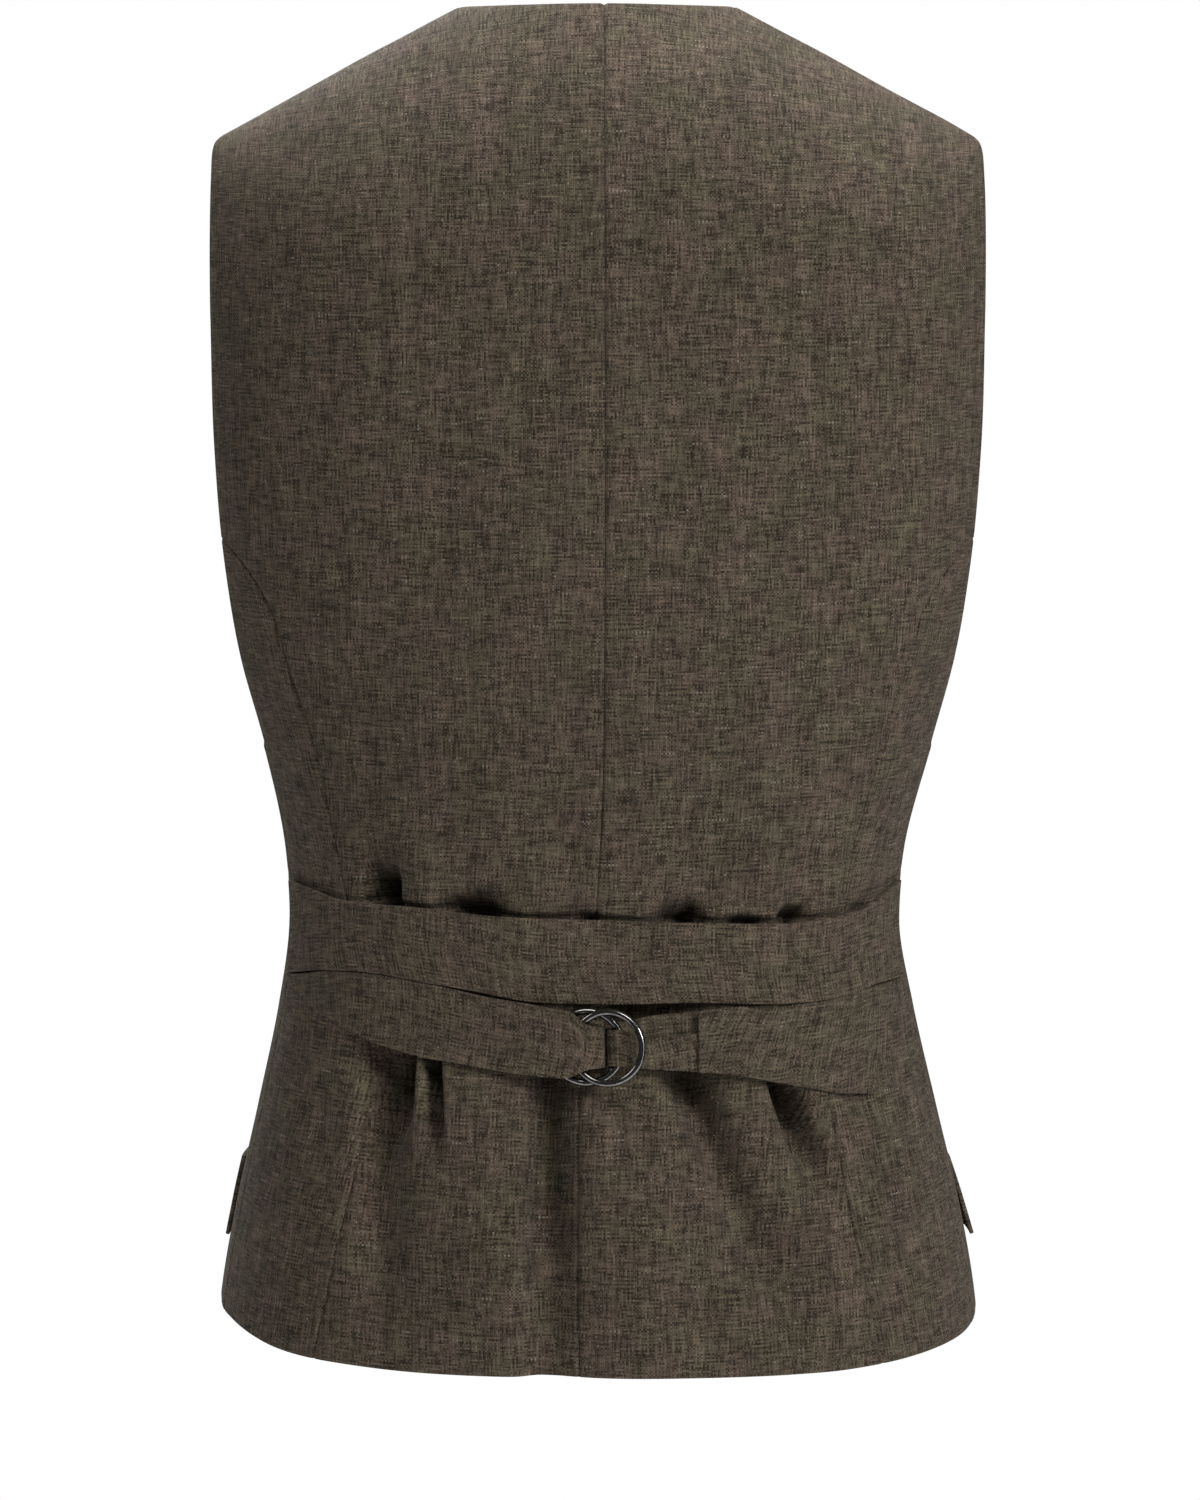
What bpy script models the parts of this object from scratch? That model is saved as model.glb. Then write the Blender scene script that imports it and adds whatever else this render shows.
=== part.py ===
"""A woman's sleeveless linen waistcoat in its worn, hollow shape, with a half belt at the back.

Frame: +Z is up, the wearer faces -Y and the wearer's left is +X. The origin lies midway between
the middles of the two shoulder seams. Units are metres. The heights in the tables below are
measured from the points where shoulder and neck meet, which lie NECK_RISE above the origin.

Every cloth panel is a thin wall on one body form. A place on the form is an angle and a level.
The angle goes round the body: 0 at the centre back, 90 degrees at the wearer's left side and
180 degrees at the centre front, with negative angles on the wearer's right. The level is the
height measured from the blade line, and above that line it climbs the shoulder cap.
"""

import math

import bmesh
import bpy
import numpy as np
from mathutils import Matrix, Vector

# Driving dimensions
CLOTH = 0.0016
SEAM_GAP = 0.0003
NECK_RISE = 0.030
NECK_HALF_WIDTH = 0.059
NECK_HEIGHT = -0.003
SHOULDER_SLOPE = 0.558
SHOULDER_ROUNDING = 0.030
BLADE_HEIGHT = -0.130
CAP_LEVEL = 0.140
SHOULDER_SEAM_LEVEL = CAP_LEVEL - SEAM_GAP
UNDERARM_HEIGHT = -0.322
PRINCESS_TOP_HEIGHT = -0.225
HEM_HEIGHT = -0.5690
SHOULDER_TIP_ANGLE = 69.5
BUTTON_WRAP = 0.015
LAP_GAP = 0.0008
LAP_RAMP = 0.027

# The body form at each height: how far its middle sways to the wearer's left, half width,
# depth to the back and to the front, and how square the rounded section is (2 is an ellipse).
# Sideways places in the other tables are measured from this middle.
SECTIONS = (
    # height, sway, half_width, back_depth, front_depth, squareness
    (-0.6100, 0.0000, 0.1690, 0.136, 0.121, 2.45),
    (-0.5750, 0.0000, 0.1680, 0.134, 0.120, 2.45),
    (-0.5260, 0.0000, 0.1602, 0.128, 0.118, 2.40),
    (-0.4800, 0.0003, 0.1497, 0.116, 0.112, 2.35),
    (-0.4350, 0.0008, 0.1394, 0.104, 0.104, 2.30),
    (-0.4000, 0.0014, 0.1339, 0.099, 0.100, 2.30),
    (-0.3680, 0.0012, 0.1352, 0.0975, 0.103, 2.30),
    (-0.3240, 0.0000, 0.1448, 0.101, 0.113, 2.30),
    (-0.2800, 0.0000, 0.1578, 0.105, 0.124, 2.30),
    (-0.2360, 0.0000, 0.1652, 0.108, 0.128, 2.30),
    (-0.1900, 0.0000, 0.1690, 0.108, 0.122, 2.30),
    (-0.1300, 0.0000, 0.1702, 0.104, 0.106, 2.30),
)

# Heights of the rows of points that all the panels share, close together at the half belt.
ROW_HEIGHTS = (
    HEM_HEIGHT, -0.553, -0.536, -0.519, -0.502, -0.486, -0.472, -0.460, -0.450, -0.440,
    -0.427, -0.413, -0.400, -0.390, -0.382, -0.373, -0.362, -0.350, -0.337, UNDERARM_HEIGHT,
)
# Heights of the rows above them, up to the point where the princess seam meets the armhole.
ARMHOLE_ROW_HEIGHTS = (-0.306, -0.290, -0.274, -0.260, -0.248, -0.238, -0.231, PRINCESS_TOP_HEIGHT)

# How finely the panels are divided.
BACK_SHOULDER_ROWS = 13
BACK_NECK_COLUMNS = 5
BACK_SHOULDER_COLUMNS = 14
SIDE_BACK_COLUMNS = 7
FRONT_COLUMNS = 14
FRONT_ARMHOLE_ROWS = 16
FRONT_NECKLINE_ROWS = 13
FRONT_EDGE_ROWS = 3
BELT_COLUMNS = 45
FLAP_COLUMNS = 10
CROSS_STRIPS = 3

# The shapes of a panel's top and bottom edge fade out over these shares of its height.
TOP_EDGE_REACH = 0.5
BOTTOM_EDGE_REACH = 0.35

HEM_LINE = (
    # x, height
    (-0.1700, -0.5700),
    (-0.1200, -0.5710),
    (-0.0500, -0.5700),
    (0.0300, -0.5690),
    (0.1000, -0.5690),
    (0.1420, -0.5675),
    (0.1600, -0.5645),
)

# The seams of the back, as the sideways place of each at some heights.
CENTRE_BACK_SEAM = (
    # height, x
    (-0.575, 0.0080),
    (-0.500, 0.0085),
    (-0.455, 0.0070),
    (-0.400, 0.0005),
    (-0.360, -0.0015),
    (-0.300, -0.0025),
    (0.000, -0.0028),
)
PRINCESS_SEAM = (
    # height, x
    (-0.575, 0.1215),
    (-0.535, 0.1130),
    (-0.500, 0.1060),
    (-0.465, 0.0995),
    (-0.430, 0.0985),
    (-0.390, 0.1030),
    (-0.347, 0.1125),
    (-0.312, 0.1205),
    (-0.277, 0.1315),
    (-0.255, 0.1385),
    (-0.241, 0.1475),
    (PRINCESS_TOP_HEIGHT, 0.1640),
)
SIDE_SEAM = (
    # height, angle
    (-0.575, 76.0),
    (-0.400, 78.0),
    (UNDERARM_HEIGHT, 80.0),
)
ARMHOLE_BACK = (
    # level, angle
    (UNDERARM_HEIGHT - BLADE_HEIGHT, 80.0),
    (-0.172, 77.2),
    (-0.130, 75.4),
    (PRINCESS_TOP_HEIGHT - BLADE_HEIGHT, 75.0),
    (0.000, 75.0),
    (0.080, 75.0),
    (0.115, 74.2),
    (0.130, 72.5),
    (CAP_LEVEL, SHOULDER_TIP_ANGLE),
)
ARMHOLE_FRONT = (
    # angle, level, from the side seam under the arm and up to the shoulder
    (80.0, -0.192),
    (84.0, -0.196),
    (90.0, -0.197),
    (97.0, -0.193),
    (103.0, -0.182),
    (109.0, -0.158),
    (113.0, -0.122),
    (115.0, -0.075),
    (115.5, -0.020),
    (114.5, 0.045),
    (113.0, 0.095),
    (180.0 - SHOULDER_TIP_ANGLE, CAP_LEVEL),
)
FRONT_NECKLINE = (
    # x, height, from the top button up to the neck point
    (-0.0150, -0.256),
    (-0.0060, -0.238),
    (0.0060, -0.210),
    (0.0185, -0.172),
    (0.0300, -0.130),
    (0.0400, -0.087),
    (0.0480, -0.048),
    (0.0545, -0.020),
    (NECK_HALF_WIDTH, NECK_HEIGHT),
)
FRONT_HEM = (
    # x, how far the front reaches below the hem line
    (-0.0150, 0.0110),
    (0.0236, 0.0200),
    (0.0508, 0.0290),
    (0.0741, 0.0200),
    (0.1128, 0.0065),
    (0.1416, 0.0012),
    (0.1700, 0.0000),
)

# Gathers of the back: hollows run up and down from the half belt, ridges stand between them.
# Each starts at its root, where it is deepest, and fades out at its tip.
FOLDS = (
    # root_x, root_height, tip_x, tip_height, half_width, depth
    (0.0895, -0.388, 0.0895, -0.345, 0.0075, -0.0065),
    (0.0465, -0.388, 0.0475, -0.358, 0.0110, -0.0055),
    (0.0030, -0.388, 0.0030, -0.368, 0.0055, -0.0025),
    (-0.0355, -0.388, -0.0570, -0.347, 0.0070, -0.0060),
    (-0.0630, -0.388, -0.0640, -0.368, 0.0050, -0.0040),
    (-0.0830, -0.388, -0.0840, -0.364, 0.0065, -0.0045),
    (0.0795, -0.440, 0.0945, -0.540, 0.0090, -0.0080),
    (0.0668, -0.440, 0.0672, -0.492, 0.0048, -0.0050),
    (0.0175, -0.447, 0.0190, -0.556, 0.0110, -0.0065),
    (-0.0460, -0.444, -0.0700, -0.540, 0.0110, -0.0070),
    (-0.0800, -0.449, -0.1000, -0.512, 0.0060, -0.0055),
    (0.0450, -0.520, 0.0450, -0.600, 0.0170, 0.0040),
    (0.0450, -0.520, 0.0440, -0.460, 0.0130, 0.0040),
    (-0.0180, -0.525, -0.0190, -0.600, 0.0150, 0.0035),
    (-0.0180, -0.525, -0.0180, -0.462, 0.0120, 0.0035),
    (-0.0860, -0.540, -0.0900, -0.600, 0.0140, 0.0025),
)
FOLD_WIDENING = 0.8
FOLD_ROOT_FADE = 0.016

# The half belt lies on the gathers from side seam to side seam.
BAND_THICKNESS = 0.0021
BAND_END_ANGLE = 75.0
BAND_MIDDLE_HEIGHT = -0.400
BAND_TOP = (
    # x, height
    (-0.1330, -0.3750),
    (-0.1224, -0.3801),
    (-0.1120, -0.3839),
    (-0.0850, -0.3856),
    (-0.0260, -0.3832),
    (0.0160, -0.3826),
    (0.0655, -0.3800),
    (0.1000, -0.3785),
    (0.1330, -0.3790),
)
BAND_BOTTOM = (
    # x, height
    (-0.1330, -0.4188),
    (-0.1155, -0.4173),
    (-0.0980, -0.4180),
    (-0.0760, -0.4192),
    (-0.0430, -0.4180),
    (0.0000, -0.4176),
    (0.0410, -0.4155),
    (0.0635, -0.4112),
    (0.0850, -0.4085),
    (0.1150, -0.4110),
    (0.1330, -0.4175),
)

# The two rings of the belt. The lower ring lies flat, and the upper one stands on it, tilted.
RING_RADIUS = 0.0149
RING_WIRE = 0.0030
RING_STEPS = 28
WIRE_SIDES = 8
LOWER_RING_CENTRE = (0.0036, -0.4352)
LOWER_RING_LIFT = 0.0038
UPPER_RING_CENTRE = (-0.0050, -0.4356)
UPPER_RING_LIFT = 0.0087
UPPER_RING_TILT = -16.0

STRAP_THICKNESS = 0.0015
LEFT_STRAP = (
    # x, lift of the middle of the cloth, top height, bottom height
    (0.0982, 0.0011, -0.4102, -0.4361),
    (0.0880, 0.0011, -0.4097, -0.4385),
    (0.0740, 0.0012, -0.4118, -0.4414),
    (0.0580, 0.0014, -0.4146, -0.4432),
    (0.0450, 0.0023, -0.4170, -0.4450),
    (0.0340, 0.0039, -0.4190, -0.4466),
    (0.0260, 0.0057, -0.4197, -0.4475),
    (0.0190, 0.0069, -0.4204, -0.4480),
    (0.0130, 0.0076, -0.4210, -0.4484),
    (0.0090, 0.0081, -0.4225, -0.4475),
    (0.0060, 0.0083, -0.4245, -0.4460),
    (0.0030, 0.0074, -0.4262, -0.4448),
    (0.0000, 0.0062, -0.4266, -0.4444),
    (-0.0025, 0.0046, -0.4270, -0.4440),
    (-0.0034, 0.0032, -0.4272, -0.4438),
    (-0.0025, 0.0019, -0.4270, -0.4440),
    (0.0000, 0.0012, -0.4262, -0.4446),
    (0.0060, 0.0011, -0.4240, -0.4462),
    (0.0180, 0.0011, -0.4220, -0.4470),
    (0.0300, 0.0011, -0.4210, -0.4460),
)
RIGHT_STRAP = (
    # x, lift of the middle of the cloth, top height, bottom height
    (-0.1010, 0.0011, -0.4191, -0.4590),
    (-0.0930, 0.0011, -0.4197, -0.4565),
    (-0.0840, 0.0012, -0.4203, -0.4543),
    (-0.0760, 0.0020, -0.4208, -0.4523),
    (-0.0680, 0.0036, -0.4208, -0.4506),
    (-0.0600, 0.0044, -0.4206, -0.4487),
    (-0.0510, 0.0044, -0.4205, -0.4473),
    (-0.0424, 0.0044, -0.4205, -0.4466),
)
TONGUE_THICKNESS = 0.0013
TONGUE = (
    # x, lift of the middle of the cloth, top height, bottom height
    (-0.0590, 0.0010, -0.4250, -0.4430),
    (-0.0400, 0.0010, -0.4258, -0.4440),
    (-0.0200, 0.0010, -0.4268, -0.4442),
    (-0.0100, 0.0010, -0.4272, -0.4440),
    (-0.0068, 0.0015, -0.4278, -0.4436),
    (-0.0056, 0.0032, -0.4282, -0.4432),
    (-0.0059, 0.0054, -0.4282, -0.4432),
    (-0.0078, 0.0067, -0.4280, -0.4434),
    (-0.0113, 0.0070, -0.4277, -0.4437),
    (-0.0160, 0.0063, -0.4272, -0.4439),
    (-0.0200, 0.0052, -0.4240, -0.4444),
    (-0.0260, 0.0038, -0.4228, -0.4447),
    (-0.0330, 0.0029, -0.4216, -0.4451),
    (-0.0420, 0.0026, -0.4212, -0.4452),
    (-0.0590, 0.0026, -0.4225, -0.4445),
)

# Pocket flaps of the fronts. The right one stands off the cloth at its lower edge.
FLAP_THICKNESS = 0.0018
FLAP_START_ANGLE = 91.5
FLAP_END_ANGLE = 143.0
FLAP_TOP_HEIGHT = -0.5070
FLAP_BOTTOM_HEIGHT = -0.5430
LEFT_FLAP_FLARE = 0.0005
RIGHT_FLAP_FLARE = 0.0026

BUTTON_COUNT = 4
TOP_BUTTON_HEIGHT = -0.270
BUTTON_SPACING = 0.073
BUTTON_RADIUS = 0.0085
BUTTON_THICKNESS = 0.0030
BUTTON_RIM = 0.0018
BUTTON_DISH = 0.0009
BUTTON_STEPS = 20

LEFT = 1
RIGHT = -1
STEP = 1e-4
MERGE_DISTANCE = 1e-6
FOLD_FADE_POWER = 1.3
SHARP_EDGE_DEGREES = 40.0


def table(rows):
    """The columns of a table of numbers."""
    return np.array(rows, dtype=float).T


def smooth(places, values, wanted):
    """A smooth curve through the values at the given places, read at the wanted places."""
    wanted = np.clip(wanted, places[0], places[-1])
    slopes = np.gradient(values, places)
    index = np.clip(np.searchsorted(places, wanted) - 1, 0, len(places) - 2)
    span = places[index + 1] - places[index]
    t = (wanted - places[index]) / span
    start = (2 * t**3 - 3 * t**2 + 1) * values[index] + (t**3 - 2 * t**2 + t) * span * slopes[index]
    end = (3 * t**2 - 2 * t**3) * values[index + 1] + (t**3 - t**2) * span * slopes[index + 1]
    return start + end


def along_curve(rows, count):
    """Points spaced evenly along a smooth curve through the rows of a two-column table."""
    first, second = table(rows)
    scale = np.hypot(np.diff(first) / np.ptp(first), np.diff(second) / np.ptp(second))
    place = np.concatenate([[0.0], np.cumsum(scale)])
    wanted = np.linspace(0.0, place[-1], count)
    return smooth(place, first, wanted), smooth(place, second, wanted)


def signed_power(value, power):
    """The power of a value's size, with the value's sign."""
    return np.sign(value) * np.abs(value) ** power


def section(height):
    """Sway, half width, back depth, front depth and squareness of the form at a height."""
    columns = table(SECTIONS)
    return [smooth(columns[0], column, height) for column in columns[1:]]


def shoulder_height(x):
    """Height of the shoulder line above a sideways place."""
    rounded = np.sqrt(x**2 + SHOULDER_ROUNDING**2)
    at_neck = math.hypot(NECK_HALF_WIDTH, SHOULDER_ROUNDING)
    return NECK_HEIGHT + SHOULDER_SLOPE * (at_neck - rounded)


def form_point(angle, level):
    """The point of the body form at an angle and a level."""
    height = BLADE_HEIGHT + np.minimum(level, 0.0)
    sway, half_width, back_depth, front_depth, squareness = section(height)
    depth = np.where(np.cos(angle) > 0.0, back_depth, front_depth)
    x = half_width * signed_power(np.sin(angle), 2.0 / squareness)
    y = depth * signed_power(np.cos(angle), 2.0 / squareness)
    climb = 0.5 * math.pi * np.clip(level / CAP_LEVEL, 0.0, 1.0)
    cap_rise = (shoulder_height(x) - BLADE_HEIGHT) * np.sin(climb)
    return np.stack([x + sway, y * np.cos(climb), height + cap_rise], axis=-1)


def fold_depth(x, height):
    """How far the gathers move the cloth of the back outwards."""
    moved = np.zeros_like(x)
    for root_x, root_height, tip_x, tip_height, half_width, depth in FOLDS:
        run = np.array([tip_x - root_x, tip_height - root_height])
        length = np.hypot(*run)
        forward = ((x - root_x) * run[0] + (height - root_height) * run[1]) / length
        aside = ((x - root_x) * run[1] - (height - root_height) * run[0]) / length
        t = np.clip(forward / length, 0.0, 1.0)
        fade = np.where(forward > 0.0, (1.0 - t) ** FOLD_FADE_POWER, 1.0 + forward / FOLD_ROOT_FADE)
        width = half_width * (1.0 + FOLD_WIDENING * t)
        moved += depth * np.clip(fade, 0.0, 1.0) * np.exp(-((aside / width) ** 2))
    return moved


def cloth_point(angle, level):
    """The outer face of the gathered cloth at an angle and a level."""
    point = form_point(angle, level)
    facing_back = np.cos(angle) > 0.0
    moved = np.where(facing_back, fold_depth(point[..., 0], point[..., 2]), 0.0)
    return point + moved[..., None] * form_normal(angle, level, form_point)


def form_normal(angle, level, surface):
    """The outward direction of a surface at an angle and a level."""
    level = np.minimum(level, CAP_LEVEL - 2 * STEP)
    across = surface(angle + STEP, level) - surface(angle - STEP, level)
    upward = surface(angle, level + STEP) - surface(angle, level - STEP)
    normal = np.cross(upward, across)
    return normal / np.linalg.norm(normal, axis=-1, keepdims=True)


def angle_at(x, level, facing_front=False):
    """The angle at which the form has the sideways place x."""
    _, half_width, _, _, squareness = section(BLADE_HEIGHT + np.minimum(level, 0.0))
    share = np.clip(np.abs(x) / half_width, 0.0, 1.0)
    angle = np.sign(x) * np.arcsin(share ** (squareness / 2.0))
    return math.pi - angle if facing_front else angle


def level_at(x, height):
    """The level at which the form reaches a height above the sideways place x."""
    share = (height - BLADE_HEIGHT) / (shoulder_height(x) - BLADE_HEIGHT)
    climb = np.arcsin(np.clip(share, 0.0, 1.0)) / (0.5 * math.pi)
    return np.where(height > BLADE_HEIGHT, climb * CAP_LEVEL, height - BLADE_HEIGHT)


def on_back(x, height, lift):
    """A point that stands off the ungathered back by a lift."""
    x = np.asarray(x, dtype=float)
    level = level_at(x, np.asarray(height, dtype=float))
    angle = angle_at(x, level)
    lifted = np.asarray(lift, dtype=float)[..., None]
    return form_point(angle, level) + lifted * form_normal(angle, level, form_point)


def new_object(name, mesh, material):
    """A named object of the mesh, raised from the tables' zero to the shared frame."""
    thing = bpy.data.objects.new(name, mesh)
    thing.location.z = NECK_RISE
    bpy.context.scene.collection.objects.link(thing)
    mesh.materials.append(material)
    mesh.shade_smooth()
    mesh.set_sharp_from_angle(angle=math.radians(SHARP_EDGE_DEGREES))
    return thing


def wall(name, outer, inner, material):
    """A closed wall between two grids of points, with its rims."""
    rows, columns = outer.shape[:2]
    sheet = bmesh.new()
    faces = []
    grids = []
    for grid in (outer, inner):
        points = [[sheet.verts.new(point) for point in row] for row in grid]
        grids.append(points)
    for points in grids:
        for i in range(rows - 1):
            for j in range(columns - 1):
                faces.append((points[i][j], points[i][j + 1], points[i + 1][j + 1], points[i + 1][j]))
    rim = [(0, j) for j in range(columns)]
    rim += [(i, columns - 1) for i in range(1, rows)]
    rim += [(rows - 1, j) for j in range(columns - 2, -1, -1)]
    rim += [(i, 0) for i in range(rows - 2, 0, -1)]
    front, back = grids
    for (i, j), (k, m) in zip(rim, rim[1:] + rim[:1]):
        faces.append((front[i][j], front[k][m], back[k][m], back[i][j]))
    for corners in faces:
        sheet.faces.new(corners)
    bmesh.ops.recalc_face_normals(sheet, faces=sheet.faces)
    mesh = bpy.data.meshes.new(name)
    sheet.to_mesh(mesh)
    sheet.free()
    return new_object(name, mesh, material)


def panel(name, left, right, top, bottom, shares, material, lift=None):
    """A cloth panel bounded by four curves of angles and levels.

    Its rows join the points of the left and right curves. The shapes of the top and bottom
    curves fade out over the rows next to them.
    """
    rows = len(left[0])
    place = np.linspace(0.0, 1.0, rows)[:, None]
    toward_top = np.clip(1.0 - (1.0 - place) / TOP_EDGE_REACH, 0.0, 1.0) ** 2
    toward_bottom = np.clip(1.0 - place / BOTTOM_EDGE_REACH, 0.0, 1.0) ** 2
    grids = []
    for index in range(2):
        across = left[index][:, None] * (1.0 - shares) + right[index][:, None] * shares
        top_shape = top[index] - across[-1]
        bottom_shape = bottom[index] - across[0]
        grids.append(across + toward_top * top_shape + toward_bottom * bottom_shape)
    angle, level = grids
    outer = cloth_point(angle, level)
    normal = form_normal(angle, level, cloth_point)
    if lift is not None:
        outer = outer + lift(outer[..., 0])[..., None] * normal
    return wall(name, outer, outer - CLOTH * normal, material)


def ribbon(name, rows, thickness, material):
    """A flat strap that follows a path given as a table, and may fold back on itself."""
    x, lift, top, bottom = table(rows)
    along = np.stack([np.gradient(x), np.gradient(lift)])
    along /= np.hypot(*along)
    shares = np.linspace(0.0, 1.0, CROSS_STRIPS + 1)
    height = top[:, None] * (1.0 - shares) + bottom[:, None] * shares
    faces = []
    for side in (0.5, -0.5):
        moved_x = x - side * thickness * along[1]
        moved_lift = lift + side * thickness * along[0]
        grid_x = np.broadcast_to(moved_x[:, None], height.shape)
        grid_lift = np.broadcast_to(moved_lift[:, None], height.shape)
        faces.append(on_back(grid_x, height, grid_lift))
    return wall(name, faces[0], faces[1], material)


def material_of(name, colour, roughness, metallic):
    """A plain material for the object's pieces."""
    material = bpy.data.materials.new(name)
    material.use_nodes = True
    shader = material.node_tree.nodes["Principled BSDF"]
    shader.inputs["Base Color"].default_value = (*colour, 1.0)
    shader.inputs["Roughness"].default_value = roughness
    shader.inputs["Metallic"].default_value = metallic
    return material


def shared_levels():
    """Levels of the rows from the hem to the underarm."""
    return np.array(ROW_HEIGHTS) - BLADE_HEIGHT


def armhole_levels():
    """Levels of the rows from just above the underarm to the top of the princess seam."""
    return np.array(ARMHOLE_ROW_HEIGHTS) - BLADE_HEIGHT


def hem_level(x):
    """Level of the hem line at a sideways place."""
    return smooth(*table(HEM_LINE), x) - BLADE_HEIGHT


def princess_angles(levels, shift):
    """Angles of the curved back seam at some levels, moved sideways by a shift."""
    heights, places = table(PRINCESS_SEAM)
    x = smooth(heights, places, levels + BLADE_HEIGHT) + shift
    return angle_at(x, levels)


def side_angles(levels, shift):
    """Angles of the side seam at some levels, moved round the body by a shift."""
    heights, degrees = table(SIDE_SEAM)
    half_width = section(BLADE_HEIGHT + levels)[1]
    return np.radians(smooth(heights, degrees, levels + BLADE_HEIGHT)) + shift / half_width


def armhole_back_angles(levels):
    """Angles of the armhole's edge on the back at some levels."""
    places, degrees = table(ARMHOLE_BACK)
    return np.radians(smooth(places, degrees, levels))


def back_panel(name, side, material):
    """One half of the back, from the centre seam to the princess seam and the armhole."""
    low = np.concatenate([shared_levels(), armhole_levels()])
    high = np.linspace(low[-1], SHOULDER_SEAM_LEVEL, BACK_SHOULDER_ROWS + 1)[1:]
    right_levels = np.concatenate([low, high])
    low_angles = princess_angles(low, -0.5 * SEAM_GAP)
    low_angles[-1] = min(low_angles[-1], armhole_back_angles(low[-1:])[0])
    right_angles = np.concatenate([low_angles, armhole_back_angles(high)])

    heights, places = table(CENTRE_BACK_SEAM)
    neck_level = float(level_at(np.array(places[-1]), np.array(NECK_HEIGHT)))
    shared = shared_levels()
    rows_above = len(right_levels) - len(shared)
    rising = np.linspace(shared[-1], neck_level, rows_above + 1)[1:]
    left_levels = np.concatenate([shared, rising])
    left_heights = BLADE_HEIGHT + np.minimum(left_levels, 0.0)
    seam_x = smooth(heights, places, left_heights)
    left_angles = angle_at(side * seam_x + 0.5 * SEAM_GAP, left_levels)

    centre_x = side * places[-1] + 0.5 * SEAM_GAP
    neck_x = np.linspace(centre_x, NECK_HALF_WIDTH, BACK_NECK_COLUMNS)
    neck_levels = level_at(neck_x, np.full_like(neck_x, NECK_HEIGHT))
    neck_levels = np.minimum(neck_levels, SHOULDER_SEAM_LEVEL)
    neck_angles = angle_at(neck_x, neck_levels)
    seam_angles = np.linspace(neck_angles[-1], right_angles[-1], BACK_SHOULDER_COLUMNS + 1)[1:]
    top_angles = np.concatenate([neck_angles, seam_angles])
    top_levels = np.concatenate([neck_levels, np.full_like(seam_angles, SHOULDER_SEAM_LEVEL)])
    shares = (top_angles - top_angles[0]) / np.ptp(top_angles)

    bottom_angles = left_angles[0] * (1.0 - shares) + right_angles[0] * shares
    bottom_x = form_point(bottom_angles, np.full_like(shares, shared[0]))[:, 0]
    bottom_levels = hem_level(side * bottom_x)
    left_levels[0] = bottom_levels[0]
    right_levels[0] = bottom_levels[-1]
    return panel(
        name,
        (side * left_angles, left_levels),
        (side * right_angles, right_levels),
        (side * top_angles, top_levels),
        (side * bottom_angles, bottom_levels),
        shares,
        material,
    )


def side_back_panel(name, side, material):
    """The narrow panel between the princess seam and the side seam, up to the armhole."""
    low = shared_levels()
    high = armhole_levels()[:-1]
    levels = np.concatenate([low, high])
    left_angles = princess_angles(levels, 0.5 * SEAM_GAP)
    right_angles = np.concatenate([side_angles(low, -0.5 * SEAM_GAP), armhole_back_angles(high)])
    shares = np.linspace(0.0, 1.0, SIDE_BACK_COLUMNS)
    top_angles = left_angles[-1] * (1.0 - shares) + right_angles[-1] * shares
    bottom_angles = left_angles[0] * (1.0 - shares) + right_angles[0] * shares
    bottom_x = form_point(bottom_angles, np.full_like(shares, levels[0]))[:, 0]
    bottom_levels = hem_level(side * bottom_x)
    left_levels = np.concatenate([bottom_levels[:1], levels[1:]])
    right_levels = np.concatenate([bottom_levels[-1:], levels[1:]])
    return panel(
        name,
        (side * left_angles, left_levels),
        (side * right_angles, right_levels),
        (side * top_angles, np.full_like(shares, levels[-1])),
        (side * bottom_angles, bottom_levels),
        shares,
        material,
    )


def front_panel(name, side, material):
    """One front, from the side seam and armhole to the button edge and the neckline."""
    low = shared_levels()
    arm_degrees, arm_levels = along_curve(ARMHOLE_FRONT, FRONT_ARMHOLE_ROWS + 1)
    arm_levels = np.minimum(arm_levels, SHOULDER_SEAM_LEVEL)
    arm_angles = np.radians(arm_degrees)
    left_levels = np.concatenate([low, arm_levels[1:]])
    left_angles = np.concatenate([side_angles(low, 0.5 * SEAM_GAP), arm_angles[1:]])

    neck_x, neck_heights = along_curve(FRONT_NECKLINE, FRONT_NECKLINE_ROWS)
    edge_span = (low[-1], FRONT_NECKLINE[0][1] - BLADE_HEIGHT)
    edge_levels = np.linspace(*edge_span, FRONT_EDGE_ROWS + 2)[1:-1]
    neck_levels = np.minimum(level_at(neck_x, neck_heights), SHOULDER_SEAM_LEVEL)
    right_levels = np.concatenate([low, edge_levels, neck_levels])
    edge_x = np.full(len(low) + FRONT_EDGE_ROWS, -BUTTON_WRAP)
    right_x = np.concatenate([edge_x, neck_x])
    right_angles = angle_at(right_x, right_levels, facing_front=True)

    shares = np.linspace(0.0, 1.0, FRONT_COLUMNS)
    top_angles = left_angles[-1] * (1.0 - shares) + right_angles[-1] * shares
    hem_angles = left_angles[0] * (1.0 - shares) + right_angles[0] * shares
    hem_x = form_point(hem_angles, np.full_like(shares, low[0]))[:, 0]
    hem_levels = hem_level(side * hem_x) - smooth(*table(FRONT_HEM), hem_x)
    left_levels[0] = hem_levels[0]
    right_levels[0] = hem_levels[-1]

    def lap(x):
        """How far the right front rises to lie on the left one."""
        reach = BUTTON_WRAP + LAP_GAP
        share = np.clip((x + reach + LAP_RAMP) / LAP_RAMP, 0.0, 1.0)
        return (CLOTH + LAP_GAP) * share * share * (3.0 - 2.0 * share)

    return panel(
        name,
        (side * left_angles, left_levels),
        (side * right_angles, right_levels),
        (side * top_angles, np.full_like(shares, SHOULDER_SEAM_LEVEL)),
        (side * hem_angles, hem_levels),
        shares,
        material,
        lift=lap if side == RIGHT else None,
    )


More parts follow.
